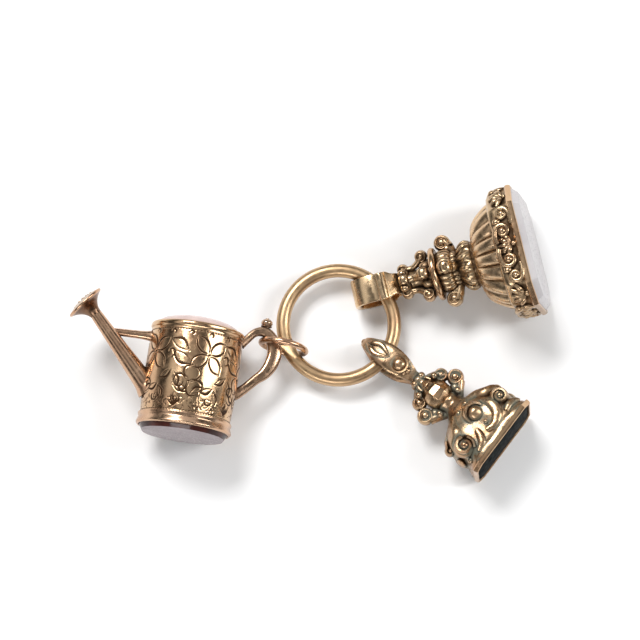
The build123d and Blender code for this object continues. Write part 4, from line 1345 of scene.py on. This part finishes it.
@dataclass
class SmallSeal(Seal):
    """The small seal: pointed bail, faceted knop with scrolls, flared body with bosses and dark stone."""

    name: str = "small"
    face_width: float = 15.5
    face_tall: float = 12.4
    face_cut: float = 1.6
    body_start: float = 15.8
    bezel_start: float = 25.3
    body_outline: tuple[tuple[float, float, float, float], ...] = (
        (0.31, 0.38, 0.0, 2.0), (0.42, 0.45, 0.06, 2.0), (0.6, 0.58, 0.14, 2.2), (0.8, 0.74, 0.26, 2.5),
        (0.9, 0.85, 0.42, 2.9), (0.93, 0.9, 0.62, 3.3), (0.92, 0.92, 0.82, 3.7), (0.985, 0.975, 0.93, 4.0),
        (0.99, 0.98, 1.0, 4.5),
    )

    def build(self, maker: Maker) -> None:
        """Builds and dresses the seal."""
        self.bail(maker)
        self.bosses(maker)
        self.knuckle(maker)
        self.knop(maker)
        self.body(maker)
        rim = [(0.1, 25.25), (0.0, 25.4), (0.02, 25.85), (0.14, 26.12)]
        rim += [(0.28, 26.2), (0.44, 26.12), (0.5, 25.9), (0.5, 25.3)]
        stone = [(0.56, 25.35), (0.56, 25.78), (0.66, 25.88), (0.95, 26.04), (1.1, 26.06)]
        self.face(maker, rim, stone, DARK_STONE, Slot.DARK_STONE)

    def bail(self, maker: Maker) -> None:
        """Builds the pointed bail."""
        middle, half = 1.35, 6.05
        outside = [(0.3, 1.0), (0.05, 0.86), (0.0, 0.5), (0.0, 0.0), (0.0, -0.5), (0.05, -0.86), (0.3, -1.0)]
        section = outside + [(0.85, -0.97), (1.0, -0.8), (1.0, 0.8), (0.85, 0.97)]
        rows = []
        for _, c, s in turns(96):
            z = middle + half * c
            width = 0.85 + 1.4 * (1 - (abs(z - middle) / half) ** 2.2)
            outer = Vector((0, 2.9 * powered(s, 1.15), z))
            inner = Vector((0, 1.85 * powered(s, 0.85), 1.4 + 3.8 * c))
            rows.append(strap_section(outer, inner, width, section))
        bm = bmesh.new()
        loft(bm, rows, closed=True)
        maker.piece("small_bail_loop", bm, "small_bail", GREENED_GOLD, crease=45)

    def bosses(self, maker: Maker) -> None:
        """Builds the boss, the balls and the two ridges on each side of the bail."""
        dome = [(0.0, -0.4), (1.75, -0.4), (1.75, 0.1), (1.6, 0.26), (1.35, 0.2)]
        dome += [(1.2, 0.12), (1.15, 0.3), (0.9, 0.62), (0.45, 0.78), (0.0, 0.82)]
        bm = bmesh.new()
        for side in (-1, 1):
            lift = Matrix.Rotation(math.radians(-90 * side), 4, "X")
            turned(bm, dome, 56, Matrix.Translation((0, side * 2.65, 3.4)) @ lift)
            for x, y, z, radius in ((0, 2.15, 5.25, 0.55), (-0.75, 2.3, 5.0, 0.4), (0.75, 2.3, 5.0, 0.4)):
                ball(bm, (x, side * y, z), radius)
            for hand in (-1, 1):
                ridge = [
                    (0, side * 1.6, -3.7, 0.2, 0.2), (hand * 0.5, side * 2.35, -2.6, 0.42, 0.3),
                    (hand * 0.95, side * 2.7, -1.2, 0.5, 0.3), (hand * 0.5, side * 2.95, 0.3, 0.3, 0.2),
                    (0, side * 2.95, 1.2, 0.15, 0.12),
                ]
                tube(bm, ridge, Vector((0, side, 0)), sides=10)
        maker.piece("small_bail_ornament", bm, "small_bail_bosses", GREENED_GOLD)

    def knuckle(self, maker: Maker) -> None:
        """Builds the scrolled knuckle under the bail, and the ball at the bail's far point."""
        bm = bmesh.new()
        ball(bm, (0, 0, -4.35), 0.62)
        core = [(0, 6.6), (1.2, 6.8), (1.5, 7.4), (1.25, 8.2), (1.6, 8.8), (2.1, 9.5), (0, 9.6)]
        turned(bm, rounded(core, 0.3), 48)
        for number in range(4):
            out = spoke(number, 4, 45.0)
            ball(bm, out * 1.35 + UP * 7.5, 0.68)
            ball(bm, out * 1.0 + UP * 6.6, 0.48)
            spots = [(0.9, 7.6, 0.3, 0.25), (1.6, 8.3, 0.36, 0.3), (1.9, 9.3, 0.3, 0.25)]
            bracket(bm, out, spots, out, sides=10, steps=4)
        maker.piece("small_knuckle_scrolls", bm, "small_knuckle", GREENED_GOLD)

    def knop(self, maker: Maker) -> None:
        """Builds the faceted knop, the scrolls beside it and the waist."""
        bm = bmesh.new()
        rows = []
        for radius, height in ((1.9, 9.4), (2.5, 10.5), (2.75, 11.6), (2.6, 12.6), (1.95, 13.6)):
            rows.append([spoke(side, 8, 22.5) * radius + UP * height for side in range(8)])
        loft(bm, rows)
        bmesh.ops.bevel(bm, geom=bm.edges[:], offset=0.08, segments=2, profile=0.5, affect="EDGES")
        maker.piece("small_knop", bm, "small_faceted_knop", PLAIN_GOLD, crease=25)
        bm = bmesh.new()
        high = Vector((0, 1, 0))
        inner = [(0.9, 8.2, 0.5, 0.7), (1.9, 8.7, 0.6, 0.85), (2.9, 9.5, 0.7, 0.95), (3.4, 10.4, 0.7, 0.95)]
        inner += [(3.9, 11.6, 0.6, 0.9)]
        outer = [(1.7, 15.4, 0.6, 0.7), (2.4, 14.7, 0.75, 0.9), (3.4, 14.0, 0.8, 1.05), (4.4, 13.4, 0.8, 1.1)]
        for hand in (-1, 1):
            for spots in (inner, outer):
                placed = [(hand * reach, 0, rise, wide, thick) for reach, rise, wide, thick in spots]
                tube(bm, placed, high, sides=14)
            roll(bm, Vector((hand * 3.15, 0, 10.1)), high, 1.28, 1.1)
            roll(bm, Vector((hand * 4.35, 0, 12.35)), high, 1.5, 1.25)
            ball(bm, (hand * 2.9, 0, 13.4), 1.0)
            for lift in (-1, 1):
                ball(bm, (hand * 2.2, lift * 1.3, 9.3), 0.6)
                ball(bm, (hand * 2.6, lift * 0.95, 14.2), 0.55, (1.0, 1.0, 1.3))
        maker.piece("small_knop_scrolls", bm, "small_side_scrolls", GREENED_GOLD)
        waist = [(1.9, 13.5), (2.15, 13.8), (1.98, 14.3), (1.95, 14.9), (2.2, 15.4), (2.5, 15.9)]
        waist = [(0, 13.5), *smooth_path(waist, 4), (0, 15.9)]
        maker.lathe("small_waist_spool", waist, 56, "small_waist", GREENED_GOLD)

    def body(self, maker: Maker) -> None:
        """Builds the flared body with its folds, roundels and scroll bosses."""
        rows = []
        height = self.bezel_start - self.body_start + 0.05
        for across, tall, place, square in smooth_path(self.body_outline):
            fold = 0.07 * math.sin(math.pi * clamp(place))
            shape = superellipse(
                self.face_width * across,
                self.face_tall * tall,
                square,
                160,
                lambda turn: 1 - fold * (0.5 + 0.5 * math.cos(6 * turn + 2.2)),
            )
            rows.append(at_height(shape, self.body_start + height * place))
        bm = bmesh.new()
        loft(bm, rows)
        maker.piece("small_flare", bm, "small_body", GREENED_GOLD, crease=60)
        bm = bmesh.new()
        for lift in (-1, 1):
            self.relief(bm, lift)
        for hand in (-1, 1):
            self.flank(bm, hand)
        maker.piece("small_body_scrolls", bm, "small_scroll_bosses", GREENED_GOLD)

    def over(self, lift: float, x: float, z: float, sink: float = 0.0) -> Vector:
        """Returns a spot on the body's upper or lower side.

        Args:
            lift: 1 for the upper side, -1 for the lower.
            x: Its place across the body.
            z: Its place along the seal.
            sink: How deep below the surface it lies.
        """
        place = (z - self.body_start) / (self.bezel_start - self.body_start)
        rows = smooth_path(self.body_outline)
        across, tall, _, square = min(rows, key=lambda row: abs(row[2] - place))
        share = min(abs(x) / (self.face_width * across / 2), 0.98)
        crest = self.face_tall * tall / 2 * (1 - share**square) ** (1 / square)
        return Vector((x, lift * (crest - sink), z))

    def ridge(self, bm: Mesh, lift: float, spots: Rows) -> None:
        """Adds a rounded fold over the body.

        Args:
            bm: The mesh.
            lift: 1 for the upper side, -1 for the lower.
            spots: X, Z and half width at each spot.
        """
        rows = [(*self.over(lift, x, z, 0.15 * half), half, half * 0.62) for x, z, half in spots]
        tube(bm, rows, Vector((0, lift, 0)))

    def whorl(self, bm: Mesh, lift: int, x: float, z: float, radius: float, start: float, hand: int) -> None:
        """Adds a round scroll boss: a domed band that winds in to a button.

        Args:
            bm: The mesh.
            lift: 1 for the upper side, -1 for the lower.
            x: Its place across the body.
            z: Its place along the seal.
            radius: Its outer radius.
            start: The angle in degrees where the band comes in.
            hand: Which way it winds.
        """
        spots = []
        for step in range(15):
            share = step / 14
            turn = math.radians(start) + hand * 2.6 * math.pi * share
            reach = radius * (0.86 - 0.52 * share)
            rise = 0.5 * radius * share + 0.1
            at = self.over(lift, x, z) + Vector((reach * math.cos(turn), lift * rise, reach * math.sin(turn)))
            spots.append((*at, radius * (0.26 - 0.08 * share), radius * (0.4 - 0.1 * share)))
        tube(bm, spots, Vector((0, lift, 0)), sides=10, steps=2)
        ball(bm, self.over(lift, x, z, 0.25 * radius), radius * 0.98, (1.0, 0.72, 1.0))
        ball(bm, self.over(lift, x, z, -0.55 * radius), radius * 0.34, (1.0, 0.8, 1.0))

    def relief(self, bm: Mesh, lift: float) -> None:
        """Adds the roundel, the whorls and the folds of the upper side (lift 1) or the lower one (-1)."""
        roundel = [(2.1, -1.2), (2.15, -0.1), (1.95, 0.28), (1.65, 0.3), (1.45, 0.02)]
        roundel += [(1.35, 0.0), (1.3, 0.45), (1.1, 0.85), (0.6, 1.1), (0.0, 1.18)]
        place = Matrix.Translation(self.over(lift, 0.45, 19.7, 0.25))
        seat = place @ Matrix.Rotation(math.radians(-90 * lift), 4, "X")
        turned(bm, roundel, 56, seat @ Matrix.Rotation(math.radians(22), 4, "X"))
        self.whorl(bm, lift, -5.3, 21.7, 2.0, 60, -1)
        self.whorl(bm, lift, 5.4, 21.3, 1.6, 200, 1)
        for fold in (
            ((-1.9, 16.9, 0.5), (-3.3, 18.2, 0.85), (-4.3, 19.4, 0.95), (-5.8, 19.9, 0.8), (-6.6, 21.0, 0.5)),
            ((1.9, 16.8, 0.55), (3.3, 17.7, 0.95), (4.6, 18.8, 1.05), (6.0, 19.5, 0.9), (6.7, 20.9, 0.55)),
            ((2.8, 19.1, 0.5), (3.4, 20.9, 0.95), (2.7, 22.7, 1.05), (0.9, 23.6, 0.85), (-0.8, 23.1, 0.5)),
            ((-1.8, 21.7, 0.45), (-2.2, 22.7, 0.7), (-3.0, 23.8, 0.75), (-4.6, 24.3, 0.5)),
            ((3.9, 23.8, 0.5), (5.2, 23.5, 0.75), (6.3, 23.8, 0.7), (6.9, 24.5, 0.4)),
        ):
            self.ridge(bm, lift, fold)
        for x, z, radius in ((-1.0, 17.2, 0.45), (1.1, 17.1, 0.45), (-6.5, 23.9, 0.55), (0.3, 22.1, 0.4)):
            ball(bm, self.over(lift, x, z, 0.1), radius, (1.0, 0.7, 1.0))

    def flank(self, bm: Mesh, hand: float) -> None:
        """Adds the scroll and the balls along the left flank (hand -1) or the right one (1)."""
        out = Vector((hand, 0, 0))
        eye = out * 6.75 + UP * 19.6
        scroll(bm, eye, -UP, out, 1.15, 0.7, 1.1, 2.4, [out * 4.3 + UP * 17.3, out * 5.9 + UP * 18.0])
        ball(bm, eye, 0.7, (0.9, 1.9, 0.9))
        ball(bm, out * 7.25 + UP * 22.4, 0.85, (0.6, 2.0, 1.2))


@dataclass
class Studio:
    """The pale floor, the soft lights and the camera. The lights' and the floor's lengths are in metres."""

    target: Point = (1.32, 3.43, 2.5)
    distance: float = 450.0
    elevation: float = 79.0
    lens: float = 143.27

    def build(self) -> None:
        """Builds the studio."""
        self.camera()
        self.floor()
        self.sky()
        self.lamps()
        bpy.context.scene.view_settings.view_transform = "Standard"

    def hang(self, name: str, data: bpy.types.ID) -> bpy.types.Object:
        """Puts a camera or a light in the scene and returns its object."""
        thing = bpy.data.objects.new(name, data)
        bpy.context.scene.collection.objects.link(thing)
        return thing

    def camera(self) -> None:
        """Sets the camera at the photograph's angle."""
        lift = math.radians(self.elevation)
        data = bpy.data.cameras.new("camera")
        data.lens, data.sensor_width = self.lens, 36.0
        data.clip_start, data.clip_end = 0.01, 10.0
        thing = self.hang("camera", data)
        target = Vector(self.target) * MM
        thing.location = target + Vector((0, -math.cos(lift), math.sin(lift))) * self.distance * MM
        thing.rotation_euler = (math.pi / 2 - lift, 0, 0)
        bpy.context.scene.camera = thing

    def floor(self) -> None:
        """Lays the floor, white to the camera and in reflections."""
        half, under = 1.5, Matrix.Translation((0, 0, -0.00002))
        bm = bmesh.new()
        bmesh.ops.create_grid(bm, x_segments=1, y_segments=1, size=half, matrix=under)
        floor = into_scene("floor", bm)
        graph = Graph("pale_floor")
        values = {"Base Color": (0.95, 0.95, 0.95), "Roughness": 0.9, "Specular IOR Level": 0.0}
        for name, value in values.items():
            graph.feed(graph.shader.inputs[name], value)
        floor.data.materials.append(graph.material)

    def sky(self) -> None:
        """Makes the room: pale at the sides, with darker bands that polished metal can show."""
        world = bpy.data.worlds.new("room")
        bpy.context.scene.world = world
        world.use_nodes = True
        tree = world.node_tree
        tree.nodes.clear()
        kinds = ("TexCoord", "SeparateXYZ", "ValToRGB", "Background", "OutputWorld")
        place, split, ramp, light, output = [tree.nodes.new(f"ShaderNode{kind}") for kind in kinds]
        tree.links.new(place.outputs["Generated"], split.inputs[0])
        tree.links.new(split.outputs["Z"], ramp.inputs[0])
        tree.links.new(ramp.outputs[0], light.inputs[0])
        tree.links.new(light.outputs[0], output.inputs[0])
        stops = ramp.color_ramp.elements
        stops[0].color = (0.4, 0.4, 0.4, 1)
        stops[1].color = (0.55, 0.55, 0.55, 1)
        bands = ((0.15, 0.3), (0.28, 0.05), (0.5, 0.06), (0.62, 0.7), (0.74, 0.85), (0.84, 0.1), (0.93, 0.12))
        for position, level in bands:
            stops.new(position).color = (level, level, level, 1)

    def lamps(self) -> None:
        """Hangs the soft lights, which look at the fob."""
        for name, place, size, power in (
            ("key", (-0.3, 0.5, 0.8), (0.45, 0.3), 7.0),
            ("side", (0.7, 0.1, 0.55), (0.2, 0.6), 3.2),
            ("front", (-0.2, -0.75, 0.55), (0.7, 0.16), 2.6),
        ):
            data = bpy.data.lights.new(name, "AREA")
            data.shape = "RECTANGLE"
            data.size, data.size_y = size
            data.energy = power
            lamp = self.hang(name, data)
            lamp.location = place
            lamp.rotation_euler = (-Vector(place)).to_track_quat("-Z", "Y").to_euler()


def on_wire(degrees: float) -> Point:
    """Returns the middle of the split ring's wire at an angle."""
    turn = math.radians(degrees)
    x, y, z = RING_CENTRE
    return x + RING_RADIUS * math.cos(turn), y + RING_RADIUS * math.sin(turn), z


def main() -> None:
    """Builds the fob's pieces and the studio, in order."""
    logging.basicConfig(level=logging.INFO, format="%(message)s")
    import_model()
    Studio().build()
    SplitRing().build(Maker("ring", Matrix.Translation(RING_CENTRE)))
    JumpRing().build(Maker("link", Matrix.Identity(4)))
    can_origin = (RING_CENTRE[0] - 27.0, RING_CENTRE[1] - 19.5, 8.3497)
    can = Placement(can_origin, 81.9, -0.4775, up_is_minus_y=True, roll=11.0)
    WateringCan().build(Maker("watering_can", can.matrix()))
    LargeSeal().build(Maker("large_seal", Placement(on_wire(41.2), 12.7, 12.781).matrix()))
    SmallSeal().build(Maker("small_seal", Placement(on_wire(-35.2), -37.3, 6.225).matrix()))


if __name__ == "__main__":
    main()
